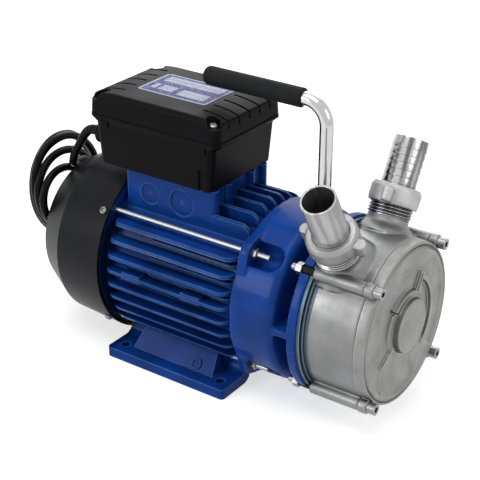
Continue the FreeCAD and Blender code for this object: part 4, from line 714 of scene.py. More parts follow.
@dataclass(frozen=True)
class Axis:
    """A line with a direction, for turned pieces; local Z runs along it."""

    matrix: Matrix

    @staticmethod
    def shaft() -> "Axis":
        """The shaft: local Z is +X, local X points up."""
        return Axis(Matrix(((0, 0, 1, 0), (0, 1, 0, 0), (-1, 0, 0, SHAFT_HEIGHT), (0, 0, 0, 1))))

    @staticmethod
    def port(side: Side) -> "Axis":
        """A port's axis, leaning from upright to its own side."""
        return Axis(Matrix.Translation(PORT_CENTRE)
                    @ Matrix.Rotation(math.radians(-PORT_LEAN * side.value), 4, "X"))

    @staticmethod
    def upright(x: float, y: float, z: float) -> "Axis":
        """Upright axis through a point."""
        return Axis(Matrix.Translation((x, y, z)))

    @staticmethod
    def along_x(x: float, y: float, z: float) -> "Axis":
        """Axis along +X through a point."""
        return Axis(Matrix.Translation((x, y, z)) @ Matrix.Rotation(math.radians(90.0), 4, "Y"))

    @staticmethod
    def four(circle: float) -> list["Axis"]:
        """Axes along +X through the corners of a square on a circle round the shaft."""
        half = circle / math.sqrt(2)
        return [Axis.along_x(0.0, y, SHAFT_HEIGHT + z) for y in (half, -half) for z in (half, -half)]

    @staticmethod
    def radial(x: float, radius: float, degrees_from_top: float) -> "Axis":
        """Axis that points away from the shaft; the angle runs from +Z towards +Y."""
        return Axis(Matrix.Translation((x, 0.0, SHAFT_HEIGHT))
                    @ Matrix.Rotation(math.radians(-degrees_from_top), 4, "X")
                    @ Matrix.Translation((0.0, 0.0, radius)))

    @staticmethod
    def aimed(point: Triple, direction: Triple) -> "Axis":
        """Axis through a point, along a direction."""
        turn = Vector(direction).to_track_quat("Z", "Y").to_matrix().to_4x4()
        return Axis(Matrix.Translation(point) @ turn)

    def set(self, points: np.ndarray) -> np.ndarray:
        """Points of the local frame, placed in the pump's frame."""
        m = np.array(self.matrix)
        return points @ m[:3, :3].T + m[:3, 3]

    def turned(self, profile: np.ndarray, around: int) -> np.ndarray:
        """Surface of revolution of radius and height: radius times cosine and sine, and the height."""
        angle = np.linspace(0.0, 2 * math.pi, around, endpoint=False)
        return self.set(circled(profile[:, :1], angle, profile[:, 1:]))


def carried(section: np.ndarray, path: np.ndarray, sizes: np.ndarray) -> np.ndarray:
    """Section carried along a path, square to it, with the least twist about the up direction.

    Args:
        section: Two coordinates of each point: sideways and upwards.
        path: Points of the path.
        sizes: Growth of the section at each point of the path.

    Returns:
        Grid of points, path by section.
    """
    ahead = np.gradient(path, axis=0)
    ahead /= np.linalg.norm(ahead, axis=1)[:, None]
    up = np.array([0.0, 0.0, 1.0])
    if abs(ahead[:, 2]).max() > 0.9:
        up = np.array([0.0, 1.0, 0.0])
    sideways = np.cross(up, ahead)
    sideways /= np.linalg.norm(sideways, axis=1)[:, None]
    upwards = np.cross(ahead, sideways)
    grown = section[None] * sizes[:, None, None]
    return path[:, None] + grown[..., :1] * sideways[:, None] + grown[..., 1:] * upwards[:, None]


def rounded(x: np.ndarray, y: np.ndarray, half_x: float, half_y: float,
            corner: float) -> tuple[np.ndarray, np.ndarray, np.ndarray, np.ndarray]:
    """Round the corners of a rectangle's grid: each corner square is mapped onto a quarter disc.

    Args:
        x: First coordinate of each point, from the middle.
        y: Second coordinate of each point.
        half_x: Half of the rectangle's first side.
        half_y: Half of its second side.
        corner: Radius of the corners.

    Returns:
        The new coordinates, and the place in the corner's disc, 0 outside it.
    """
    u = np.clip((np.abs(x) - half_x + corner) / corner, 0.0, 1.0)
    v = np.clip((np.abs(y) - half_y + corner) / corner, 0.0, 1.0)
    disc_u = u * np.sqrt(1 - v * v / 2)
    disc_v = v * np.sqrt(1 - u * u / 2)
    x = np.sign(x) * (np.minimum(np.abs(x), half_x - corner) + disc_u * corner)
    y = np.sign(y) * (np.minimum(np.abs(y), half_y - corner) + disc_v * corner)
    return x, y, disc_u, disc_v


def smooth(low: float, high: float, value: np.ndarray) -> np.ndarray:
    """Cubic step from 0 at low to 1 at high."""
    t = np.clip((value - low) / (high - low), 0.0, 1.0)
    return t * t * (3 - 2 * t)


def cast_mesh(name: str, forms: list[bpy.types.Mesh], voxel_mm: float, rounds: int) -> bpy.types.Mesh:
    """Join closed forms into one casting and soften its edges and corners.

    Args:
        name: Name of the new mesh.
        forms: Closed meshes that overlap.
        voxel_mm: Grain of the union.
        rounds: Passes of smoothing.

    Returns:
        The mesh of the casting.
    """
    union = bmesh.new()
    for form in forms:
        union.from_mesh(form)
    bmesh.ops.remove_doubles(union, verts=union.verts, dist=1e-6)
    joined = bpy.data.meshes.new(name + "_form")
    union.to_mesh(joined)
    union.free()
    holder = linked(name + "_form", joined)
    remesh = holder.modifiers.new("union", "REMESH")
    remesh.mode = "VOXEL"
    remesh.voxel_size = voxel_mm * MM
    soften = holder.modifiers.new("soften", "SMOOTH")
    soften.factor = 0.5
    soften.iterations = rounds
    bpy.context.view_layer.update()
    shown = holder.evaluated_get(bpy.context.evaluated_depsgraph_get())
    made = bpy.data.meshes.new_from_object(shown)
    made.name = name
    bpy.data.objects.remove(holder)
    bpy.data.meshes.remove(joined)
    return made


def node_form(name: str) -> bpy.types.Mesh:
    """Copy of a CAD node's mesh."""
    return bpy.data.objects[name].data.copy()


# Ports, union nuts and hose tails


@dataclass
class PortFittings:
    """Thread, union nut and hose tail of both ports; heights are distances from the shaft."""

    thread_radius: float = 16.6
    thread_root: float = 15.1
    thread_bore: float = 9.5
    thread_pitch: float = 2.309
    thread_foot: float = 69.2
    thread_top: float = 84.0
    nut_foot: float = 78.0
    nut_height: float = 14.5
    nut_radius: float = 18.6
    nut_bore: float = 12.9
    lug_root: float = 15.5
    lug_width: float = 8.0
    lug_reach: float = 25.5
    lug_height: float = 10.5
    tail_radius: float = 12.5
    tail_root: float = 12.8
    tail_bore: float = 10.8
    tail_foot: float = 85.6
    tail_top: float = 127.5
    collar_radius: float = 15.9
    collar_height: float = 3.0
    ring_count: int = 6
    ring_pitch: float = 5.2
    ring_height: float = 0.5

    def thread(self, side: Side, material: Material) -> None:
        """Screw thread: the radius is a rounded wave of height over pitch less turn over a full turn.

        Args:
            side: Port that it is cut on.
            material: Its material.
        """
        axis = Axis.port(side)
        heights = np.linspace(self.thread_foot, self.thread_top, 150)
        turn = np.linspace(0.0, 2 * math.pi, 144, endpoint=False)
        phase = heights[:, None] / self.thread_pitch - turn[None] / (2 * math.pi)
        wave = 0.5 + 0.5 * np.cos(2 * math.pi * phase)
        ends = smooth(self.thread_foot, self.thread_foot + 1.2, heights)
        ends = ends * (1 - smooth(self.thread_top - 1.0, self.thread_top, heights))
        depth = self.thread_radius - self.thread_root
        radius = self.thread_root + depth * wave ** 0.75 * ends[:, None]
        outer = circled(radius, turn, heights[:, None])
        inner = np.stack([circled(self.thread_bore, turn, z) for z in (self.thread_top, self.thread_foot)])
        shell = Shell(side.name.lower() + "_port_thread")
        shell.grid(axis.set(np.concatenate([outer, inner])), True, True)
        shell.piece("stainless", material, 60.0)

    def nut(self, side: Side, turn_degrees: float, material: Material) -> None:
        """Union nut with two lugs: turned ring and rounded blocks, joined as a casting.

        Args:
            side: Port that it sits on.
            turn_degrees: Place of its lugs round the port.
            material: Its material.
        """
        foot = self.nut_foot
        top = foot + self.nut_height
        axis = Axis(Axis.port(side).matrix @ Matrix.Rotation(math.radians(turn_degrees), 4, "Z"))
        ring = filleted([
            (self.thread_radius + 0.1, foot, 0.3), (self.nut_radius - 0.7, foot, 0.6),
            (self.nut_radius, foot + 3.0, 1.0), (self.nut_radius, top - 3.0, 1.5),
            (self.nut_radius - 1.6, top, 0.8), (self.nut_bore, top, 0.4), (self.nut_bore, top - 3.9, 0.2),
            (self.thread_radius + 0.1, top - 3.9, 0.2)])
        shell = Shell("nut_form").grid(axis.turned(ring, 180), True, True)
        half = self.lug_width / 2
        for way in (1, -1):
            plan = filleted([(self.lug_root, -half, 0.5), (self.lug_reach, -half, 3.4),
                             (self.lug_reach, half, 3.4), (self.lug_root, half, 0.5)], 6) * way
            levels = np.array([0.6, 1.6, 2.6, self.lug_height - 0.9, self.lug_height])
            shrink = np.array([0.84, 0.93, 0.97, 1.0, 0.97])
            middle = plan.mean(0)
            rows = [np.column_stack([(plan - middle) * k + middle, np.full(len(plan), foot + z)])
                    for z, k in zip(levels, shrink)]
            caps = [np.column_stack([np.broadcast_to(middle, plan.shape), np.full(len(plan), foot + z)])
                    for z in (levels[0], levels[-1])]
            shell.grid(axis.set(np.stack([caps[0], *rows, caps[1]])), False, True)
        cast = cast_mesh("nut", [shell.mesh()], 0.42, 3)
        name = side.name.lower() + "_union_nut"
        body = Body.SUCTION_NUT if side is Side.SUCTION else Body.DELIVERY_NUT
        dressed(cast, name + "_cast", material, 60.0, (name,), body)

    def tail(self, side: Side, rings: bool, material: Material) -> None:
        """Hose tail: a turned tube with its collar.

        Args:
            side: Port that it leads on from.
            rings: Whether it has fine rings for the hose, as the far one does.
            material: Its material.
        """
        top = self.tail_top
        collar_top = self.tail_foot + self.collar_height
        step = self.nut_foot + self.nut_height + 0.3
        corners = [(self.tail_bore, self.tail_foot, 0.2), (self.collar_radius, self.tail_foot, 0.3),
                   (self.collar_radius, collar_top, 0.3), (self.tail_root, collar_top, 0.2),
                   (self.tail_root, step, 0.15), (self.tail_radius, step, 0.1)]
        if rings:
            for i in range(self.ring_count):
                z = top - 3.0 - self.ring_pitch * (self.ring_count - i)
                corners += [(self.tail_radius, z, 0.08),
                            (self.tail_radius + self.ring_height, z + 0.15, 0.12),
                            (self.tail_radius + 0.02, z + self.ring_pitch - 0.35, 0.3)]
        corners += [(self.tail_radius, top, 0.45), (self.tail_bore, top, 0.45)]
        profile = filleted(corners, 3)
        name = side.name.lower() + "_hose_tail"
        Shell(name + "_turned").grid(Axis.port(side).turned(profile, 160), True, True).piece(
            "chrome" if rings else "stainless", material, 50.0, (name,))

    def build(self, finishes: "Finishes") -> None:
        """Make both ports' fittings.

        Args:
            finishes: The materials.
        """
        self.thread(Side.SUCTION, finishes.turned_thread)
        self.thread(Side.DELIVERY, finishes.turned_thread)
        self.nut(Side.SUCTION, 0.0, finishes.near_nut_painted_shade)
        self.nut(Side.DELIVERY, 100.0, finishes.far_nut_painted_light)
        self.tail(Side.SUCTION, False, finishes.near_tail)
        self.tail(Side.DELIVERY, True, finishes.far_tail)


# The pump head


@dataclass
class FrontCover:
    """Cover of the pump: its cast relief is a height over the face, worked out on a polar grid.

    Each rib, dent and part of the glint has its height, radius and degrees of both ends, and half width.
    """

    face: float = 165.4
    back: float = 158.5
    hub_radius: float = 20.5
    hub_height: float = 5.8
    collar_radius: float = 26.0
    ear_circle: float = 64.3
    ear_radius: float = 5.4
    ear_front: float = 164.8
    relief: float = 2.5
    ribs: tuple = (
        (2.1, (22.0, 65.0), (38.6, 62.8), 0.85), (2.1, (22.0, 55.5), (38.6, 57.4), 0.85),
        (1.9, (21.0, 211.0), (39.0, 211.0), 1.0),
    )
    dents: tuple = (
        (0.55, (39.0, 210.0), (53.5, 226.0), 0.6), (1.5, (24.0, 138.5), (31.0, 137.0), 1.0),
        (0.9, (52.0, 231.0), (55.5, 229.0), 0.9),
    )
    glint: tuple = (
        (0.5, (45.5, 104.0), (42.5, 88.0), 0.5), (0.5, (42.5, 88.0), (41.5, 62.0), 0.45),
    )

    @staticmethod
    def window(degrees: np.ndarray, radius: np.ndarray, start: float, end: float,
               soft_mm: float) -> np.ndarray:
        """Mask between two angles, with soft edges.

        Args:
            degrees: Angle of each point.
            radius: Distance of each point from the shaft.
            start: First angle.
            end: Last angle.
            soft_mm: Width of the edges.

        Returns:
            1 inside, 0 outside.
        """
        soft = np.degrees(soft_mm / np.maximum(radius, 5.0))
        middle = (start + end) / 2
        away = np.abs((degrees - middle + 180.0) % 360.0 - 180.0) - (end - start) / 2
        return 1 - smooth(-0.5, 0.5, away / soft)

    @staticmethod
    def ridge(y: np.ndarray, z: np.ndarray, start: tuple, end: tuple, half: float) -> np.ndarray:
        """Rounded ridge along a straight line: a smooth step of the distance from it.

        Args:
            y: First coordinate of each point.
            z: Second coordinate of each point.
            start: Radius and degrees of one end.
            end: Radius and degrees of the other.
            half: Half of its width.

        Returns:
            1 on the ridge, 0 away from it.
        """
        a, b = (np.array([reach * math.cos(math.radians(degrees)), reach * math.sin(math.radians(degrees))])
                for reach, degrees in (start, end))
        run = b - a
        t = np.clip(((y - a[0]) * run[0] + (z - a[1]) * run[1]) / (run @ run), 0.0, 1.0)
        away = np.hypot(y - a[0] - t * run[0], z - a[1] - t * run[1])
        return 1 - smooth(half * 0.45, half * 1.25, away)

    def ridges(self, y: np.ndarray, z: np.ndarray, lines: tuple) -> list[np.ndarray]:
        """Each ridge of a list, times its height."""
        return [high * self.ridge(y, z, start, end, half) for high, start, end, half in lines]

    def height(self, radius: np.ndarray, degrees: np.ndarray) -> np.ndarray:
        """Height of the face: its ribs, collar and lobe as the greatest of them, less the dents.

        Args:
            radius: Distance of each point from the shaft.
            degrees: Angle of each point from +Y.

        Returns:
            Height over the face, in millimetres.
        """
        y = radius * np.cos(np.radians(degrees))
        z = radius * np.sin(np.radians(degrees))
        hub = self.hub_height * (1 - smooth(self.hub_radius - 1.0, self.hub_radius + 1.4, radius))
        foot = 1.2 * (1 - smooth(self.hub_radius + 1.0, self.hub_radius + 5.0, radius))
        collar_zone = self.window(degrees, radius, 61.0, 136.0, 1.6)
        collar = 2.6 * (1 - smooth(self.collar_radius - 1.2, self.collar_radius + 1.0, radius)) * collar_zone
        face = np.maximum(hub, np.maximum(foot * (1 - collar_zone), collar))
        crescent = smooth(33.2, 34.4, radius) * (1 - smooth(36.0, 42.5, radius))
        crescent = self.relief * crescent * self.window(degrees, radius, -50.0, 59.0, 2.0)
        lobe = smooth(27.0, 30.0, radius) * (1 - smooth(52.0, 55.0, radius))
        lobe = 1.4 * lobe * self.window(degrees, radius, -73.0, -41.0, 3.2)
        relief = np.maximum.reduce([face, crescent, lobe, *self.ridges(y, z, self.ribs)])
        dents = np.maximum.reduce([*self.ridges(y, z, self.dents), sum(self.ridges(y, z, self.glint))])
        bead = 1.5 * np.clip(1 - ((radius - 54.9) / 2.7) ** 2, 0.0, 1.0)
        groove = 0.65 * np.clip(1 - ((radius - 57.75) / 0.55) ** 2, 0.0, 1.0)
        skirt = 0.85 * smooth(58.1, 58.7, radius)
        fade = 1 - smooth(50.0, 53.0, radius)
        return relief * fade + lobe * (1 - fade) * 0.6 - dents * (1 - bead / 1.5) + bead - groove + skirt

    def build(self, material: Material) -> None:
        """Make the cover as one closed surface, with its four ears.

        Args:
            material: Its material.
        """
        columns = 400
        rows = np.concatenate([np.linspace(0.0, 18.5, 12), np.linspace(19.0, 59.2, 130)])
        degrees = np.linspace(0.0, 360.0, columns, endpoint=False)
        radius, angle = np.meshgrid(rows, degrees, indexing="ij")
        x = self.face + self.height(radius, angle)
        edge = np.array([(59.75, 166.0), (60.05, 165.4), (60.2, 164.3), (60.5, 160.0), (60.5, self.back),
                         (45.0, self.back), (0.0, self.back)])
        edge_radius, edge_angle = np.meshgrid(edge[:, 0], degrees, indexing="ij")
        radius = np.concatenate([radius, edge_radius])
        angle = np.radians(np.concatenate([angle, edge_angle]))
        x = np.concatenate([x, np.broadcast_to(edge[:, 1:], edge_radius.shape)])
        points = np.stack([x, radius * np.cos(angle), SHAFT_HEIGHT + radius * np.sin(angle)], -1)
        shell = Shell("front_cover_cast").grid(points, False, True)
        ear = filleted([(0.0, self.back, 0.0), (self.ear_radius, self.back, 0.3),
                        (self.ear_radius, self.ear_front, 0.9), (0.0, self.ear_front, 0.0)], 4, False)
        for axis in Axis.four(self.ear_circle):
            shell.grid(axis.turned(ear, 48), False, True)
        shell.piece("stainless", material, 50.0, ("front_cover",))


@dataclass
class PumpCasing:
    """Cast barrel with flared port necks and bolt bosses; its rear rim is turned."""

    rear: float = 118.0
    front: float = 158.5
    radius: float = 60.5
    bore: float = 55.5
    lip_radius: float = 62.8
    boss_circle: float = 64.3
    boss_radius: float = 5.0

    def build(self, material: Material, rim_material: Material) -> None:
        """Make the casting and its rim.

        Args:
            material: Material of the casting.
            rim_material: Material of the turned rim.
        """
        body = filleted([(self.bore, self.rear, 0.3), (self.radius, self.rear, 0.3),
                         (self.radius, self.front, 0.5), (self.bore, self.front, 0.3)])
        shell = Shell("casing_form").grid(Axis.shaft().turned(body, 240), True, True)
        neck = filleted([(9.6, 57.5, 0.2), (25.0, 57.5, 0.2), (22.0, 60.8, 3.0), (15.6, 65.0, 5.0),
                         (14.9, 70.2, 0.3), (9.6, 70.2, 0.2)], 6)
        for side in Side:
            shell.grid(Axis.port(side).turned(neck, 96), True, True)
        boss = filleted([(0.0, self.rear + 0.2, 0.0), (self.boss_radius, self.rear + 0.2, 1.0),
                         (self.boss_radius, self.front - 0.1, 0.5), (0.0, self.front - 0.1, 0.0)], 4, False)
        for axis in Axis.four(self.boss_circle):
            shell.grid(axis.turned(boss, 48), False, True)
        cast = cast_mesh("pump_casing_cast", [shell.mesh()], 0.85, 4)
        dressed(cast, "pump_casing_cast", material, 60.0, ("pump_casing",))
        rim = filleted([(self.radius - 1.2, self.rear + 0.05, 0.1), (self.lip_radius, self.rear + 0.05, 0.3),
                        (self.lip_radius, self.rear + 1.8, 0.4), (self.radius - 0.7, self.rear + 2.0, 0.2),
                        (self.radius - 0.7, self.rear + 2.8, 0.2), (self.radius + 0.35, self.rear + 3.1, 0.3),
                        (self.radius + 0.3, self.rear + 4.6, 0.4), (self.radius - 1.2, self.rear + 4.8, 0.1)])
        Shell("casing_rim").grid(Axis.shaft().turned(rim, 240), True, True).piece(
            "stainless", rim_material)


# The motor housing


@dataclass
class HousingMarks:
    """Small cast marks on the housing: beads round the knock-outs and an earth boss on the near foot."""

    seat_face: float = -34.6
    knockout_z: float = 131.4
    knockouts: tuple = ((-34.2, 8.2), (-4.7, 10.5))
    slope: Triple = (0.0, -0.768, 0.640)
    boss_place: Triple = (20.8, -52.6, 12.1)

    def build(self, material: Material) -> None:
        """Make the beads and the boss, each turned about its face's own direction.

        Args:
            material: Their material.
        """
        shell = Shell("housing_cast_marks")
        for x, radius in self.knockouts:
            bead = filleted([(radius - 0.15, -0.5, 0.1), (radius + 1.05, -0.5, 0.1),
                             (radius + 1.05, 0.4, 0.4), (radius - 0.15, 0.4, 0.35)])
            axis = Axis.aimed((x, self.seat_face, self.knockout_z), (0.0, -1.0, 0.0))
            shell.grid(axis.turned(bead, 72), True, True)
        boss = filleted([(0.0, -0.6, 0.0), (4.9, -0.6, 0.1), (4.3, 1.3, 0.5), (3.2, 1.3, 0.4),
                         (2.7, 0.2, 0.3), (1.5, 0.2, 0.3), (1.1, 0.9, 0.4), (0.0, 0.9, 0.0)], 4, False)
        shell.grid(Axis.aimed(self.boss_place, self.slope).turned(boss, 48), False, True)
        shell.piece("blue_paint", material)


# The blue bracket


@dataclass
class PumpBracket:
    """Sand-cast bracket between motor and pump, with the soft edges of a casting."""

    grain_mm: float = 1.0
    rounds: int = 2

    def build(self, material: Material) -> None:
        """Soften a merged copy of the CAD form."""
        cast = cast_mesh("pump_bracket_cast", [node_form("pump_bracket")], self.grain_mm, self.rounds)
        dressed(cast, "pump_bracket_cast", material, 50.0, ("pump_bracket",))


# The terminal box


@dataclass
class BoxLid:
    """Cambered lid: its top is a height over a rounded rectangle, with grooves and screw pockets."""

    rear: float = -85.5
    front: float = 31.8
    half_width: float = 40.7
    draft: float = 0.7
    corner: float = 5.0
    foot: float = 187.45
    crown: float = 204.2
    camber_length: float = 24.0
    camber_drop: float = 4.0
    long_roll: float = 4.2
    short_roll: float = 1.8
    groove_pitch: float = 12.7
    groove_count: int = 5
    groove_length: float = 22.5
    groove_half: float = 0.85
    groove_depth: float = 1.2
    pocket_radius: float = 4.4
    pocket_floor: float = 197.25
    screw_x: float = 49.65
    screw_y: float = 32.5

    @property
    def middle(self) -> float:
        """Middle of the lid along X."""
        return (self.rear + self.front) / 2

    def camber(self, x: np.ndarray) -> np.ndarray:
        """Height of the crown: level in the middle, then an arc down to each short end.

        Args:
            x: Place along the shaft.

        Returns:
            The height.
        """
        half = (self.front - self.rear) / 2
        run = np.maximum(np.abs(x - self.middle) - (half - self.camber_length), 0.0)
        radius = (self.camber_length ** 2 + self.camber_drop ** 2) / (2 * self.camber_drop)
        return self.crown - (radius - np.sqrt(radius ** 2 - run ** 2))

    def grooves(self, y: np.ndarray) -> np.ndarray:
        """Share of the groove depth at a place across the lid.

        Args:
            y: Place across the lid.

        Returns:
            1 in a groove, 0 between them.
        """
        lane = np.round(np.clip(y / self.groove_pitch, -(self.groove_count // 2), self.groove_count // 2))
        away = np.abs(y - lane * self.groove_pitch)
        return 1 - smooth(self.groove_half - 0.18, self.groove_half + 0.18, away)

    def roll(self, inside: np.ndarray, radius: np.ndarray) -> np.ndarray:
        """Fall of a rounded edge at a distance inside the outline."""
        short = np.clip(radius - inside, 0.0, radius)
        return radius - np.sqrt(np.maximum(radius ** 2 - short ** 2, 0.0))

    def pocket(self, x: np.ndarray, y: np.ndarray) -> np.ndarray:
        """Share of a screw pocket: a slot from the screw towards its corner.

        Args:
            x: Place along the shaft.
            y: Place across the lid.

        Returns:
            1 in a pocket, 0 outside.
        """
        u = np.abs(x - self.middle) - self.screw_x
        v = np.abs(y) - self.screw_y
        along = np.clip((u + v) / 2, 0.0, 20.0)
        return 1 - smooth(self.pocket_radius - 0.3, self.pocket_radius + 0.3, np.hypot(u - along, v - along))

    def ticks(self, half: float, extra: list[float]) -> np.ndarray:
        """Grid lines over a width: fine at the edges and at the extra places, coarse between.

        Args:
            half: Half of the width.
            extra: Places on the positive side that get a line.

        Returns:
            The lines, in order.
        """
        edge = half - 6.0 * (1 - np.cos(np.linspace(0.0, 1.15, 15)))
        rest = np.arange(0.0, edge[-1] - 0.5, 1.15)
        lines = np.concatenate([edge, rest, np.array(extra)])
        lines = np.unique(np.round(np.concatenate([-lines, lines]), 3))
        return lines[np.concatenate([[True], np.diff(lines) > 0.07])]

    def surface(self) -> np.ndarray:
        """Top of the lid: the camber less the rolled edges, the grooves and the pockets.

        Returns:
            Grid of points, along the shaft by across it.
        """
        half_x = (self.front - self.rear) / 2 - self.draft
        half_y = self.half_width - self.draft
        steps = (0.0, 0.3, 0.42, 0.54, 0.66, 0.8, 1.1)
        lanes = [self.groove_pitch * i + way * t for i in range(3) for t in steps for way in (-1, 1)]
        pocket_lines = [self.screw_y + t for t in np.arange(-5.0, 2.0, 0.45)]
        ends = [self.screw_x + t for t in np.arange(-5.0, 2.5, 0.45)]
        ends += [half_x - self.groove_length + t for t in (-0.9, -0.6, -0.3, 0.0, 0.3, 0.6)]
        x, y = np.meshgrid(self.ticks(half_x, ends), self.ticks(half_y, lanes + pocket_lines), indexing="ij")
        x, y, u, v = rounded(x, y, half_x, half_y, self.corner)
        inside_x = half_x - np.abs(x)
        inside_y = half_y - np.abs(y)
        round_inside = self.corner * (1 - np.hypot(u, v))
        in_corner = (u > 0) & (v > 0)
        inside = np.where(in_corner, round_inside, np.minimum(inside_x, inside_y))
        turn = np.where(in_corner, np.arctan2(v, u), np.where(inside_y < inside_x, math.pi / 2, 0.0))
        sizes = self.short_roll + (self.long_roll - self.short_roll) * np.sin(turn) ** 2
        x = x + self.middle
        ends = 1 - smooth(self.groove_length - 0.7, self.groove_length, half_x - np.abs(x - self.middle))
        z = self.camber(x) - self.roll(inside, sizes) - self.groove_depth * self.grooves(y) * ends
        z = z + self.pocket(x, y) * np.minimum(self.pocket_floor - z, 0.0)
        return np.stack([x, y, z], -1)

    def build(self, material: Material) -> None:
        """Make the lid as one closed surface: top, walls and the plain underside.

        Args:
            material: Its material.
        """
        top = self.surface()
        ring = np.concatenate([top[:-1, 0], top[-1, :-1], top[:0:-1, -1], top[0, :0:-1]])
        outward = ring[:, :2] - np.array([self.middle, 0.0])
        half = np.array([(self.front - self.rear) / 2 - self.corner, self.half_width - self.corner])
        outward = outward - np.clip(outward, -half, half)
        outward /= np.linalg.norm(outward, axis=1)[:, None]
        end_top = self.crown - self.camber_drop
        notch = self.grooves(ring[:, 1]) * (np.abs(outward[:, 0]) > 0.99)
        rows = []
        for share in np.linspace(0.04, 1.0, 15) ** 1.3:
            z = ring[:, 2] + (self.foot - ring[:, 2]) * share
            cut = notch * self.groove_depth * smooth(end_top - 5.4, end_top - 4.6, z)
            place = ring[:, :2] + outward * (self.draft * share - cut)[:, None]
            rows.append(np.column_stack([place, z]))
        rows[-1][:, :2] -= outward * 0.25
        above = np.full(len(ring), self.foot + 0.3)
        rows.insert(-1, np.column_stack([rows[-1][:, :2] + outward * 0.25, above]))
        skirt = rows[-1][:, :2]
        for inset, z in ((2.5, self.foot), (2.6, self.pocket_floor - 1.0), (6.0, self.pocket_floor - 0.8)):
            rows.append(np.column_stack([skirt - outward * inset, np.full(len(ring), z)]))
        centre = np.array([self.middle, 0.0])
        rows.append(np.column_stack([np.broadcast_to(centre, skirt.shape), rows[-1][:, 2]]))
        shell = Shell("terminal_box_lid_cast").grid(top)
        shell.grid(np.stack([ring, *rows]), False, True)
        shell.piece("black_plastic", material, 38.0, ("terminal_box_lid",))


@dataclass
class RatingLabel:
    """Printed plate on the lid: plain bands and fields, with no lettering."""

    name: str = "lid_label"
    centre: Pair = (-26.6, 1.9)
    size: Pair = (62.2, 39.0)
    rise: float = 0.14
    thickness: float = 0.12
    corner: float = 2.6

    def material(self) -> Material:
        """Blue print with pale fields; the place on the label is its own UV map, from 0 to 1.

        Returns:
            The material.
        """
        g = Graph("label_print")
        here = g.node("UVMap", {"uv_map": "label"})
        u = g.part(here, "X")
        v = g.part(here, "Y")

        def patch(left: float, right: float, low: float, high: float) -> Signal:
            """Mask of one field of the print.

            Args:
                left: Its left edge.
                right: Its right edge.
                low: Its lower edge.
                high: Its upper edge.

            Returns:
                1 in the field, 0 outside.
            """
            soft = 0.008
            sides = g.spread(u, left, left + soft) * g.spread(u, right, right - soft)
            return sides * g.spread(v, low, low + 1.4 * soft) * g.spread(v, high, high - 1.4 * soft)

        smear = g.spread(g.noise(260.0, 3.0), 0.3, 0.7)
        specks = g.spread(g.noise(1.0, 3.0, 0.7, g.stretched((420.0, 900.0, 400.0))), 0.52, 0.62)
        colour = g.tint(smear, (0.014, 0.022, 0.15), (0.026, 0.038, 0.20))
        pale = g.tint(smear, (0.42, 0.45, 0.58), (0.56, 0.59, 0.70))
        rules = 1 - patch(0.022, 0.978, 0.03, 0.97)
        fields = patch(0.09, 0.93, 0.62, 0.90) + patch(0.20, 0.42, 0.20, 0.46)
        fields = fields + patch(0.50, 0.90, 0.14, 0.44) + patch(0.09, 0.165, 0.20, 0.46)
        colour = g.tint(specks * 0.55, colour, (0.42, 0.46, 0.66))
        colour = g.tint(fields, colour, g.tint(specks * 0.75, pale, (0.12, 0.15, 0.36)))
        band = patch(0.16, 0.50, 0.735, 0.785) + patch(0.56, 0.86, 0.735, 0.785)
        band = band + patch(0.535, 0.87, 0.275, 0.305) + patch(0.23, 0.39, 0.315, 0.345)
        colour = g.tint(band * 0.6, colour, (0.24, 0.26, 0.46))
        rows = patch(0.16, 0.90, 0.555, 0.575) + patch(0.16, 0.90, 0.50, 0.515)
        colour = g.tint(rows * 0.55, colour, (0.5, 0.52, 0.74))
        colour = g.tint(rules * 0.85, colour, (0.62, 0.66, 0.86))
        return g.finish(Base_Color=colour, Roughness=0.34 + 0.1 * smear, Specular_IOR_Level=0.08)

    def build(self, lid: BoxLid) -> None:
        """Make the plate: a grid of rounded outline that follows the lid's crown.

        Args:
            lid: Lid that it lies on.
        """
        across, along = np.meshgrid(np.linspace(-1.0, 1.0, 41), np.linspace(-1.0, 1.0, 61))
        half_x, half_y = self.size[0] / 2, self.size[1] / 2
        x, y, _, _ = rounded(along * half_x, across * half_y, half_x, half_y, self.corner)
        place_x = self.centre[0] + x
        place_y = self.centre[1] + y
        points = np.stack([place_x, place_y, lid.camber(place_x) + self.rise], -1)
        mesh = bpy.data.meshes.new(self.name)
        faces = quads(61, 41, False, False)[:, ::-1]
        mesh.from_pydata((points.reshape(-1, 3) * MM).tolist(), [], faces.tolist())
        uv = np.stack([x / self.size[0] + 0.5, y / self.size[1] + 0.5], -1).reshape(-1, 2)
        corners = np.zeros(len(mesh.loops), np.int32)
        mesh.loops.foreach_get("vertex_index", corners)
        mesh.uv_layers.new(name="label").data.foreach_set("uv", uv[corners].astype(np.float32).ravel())
        if mesh.polygons[0].normal.z < 0:
            mesh.flip_normals()
        made = dressed(mesh, self.name, self.material(), 30.0, ())
        plate = made.modifiers.new("plate", "SOLIDIFY")
        plate.thickness = self.thickness * MM
        plate.offset = -1.0


# Screws with a cross recess, and small fittings


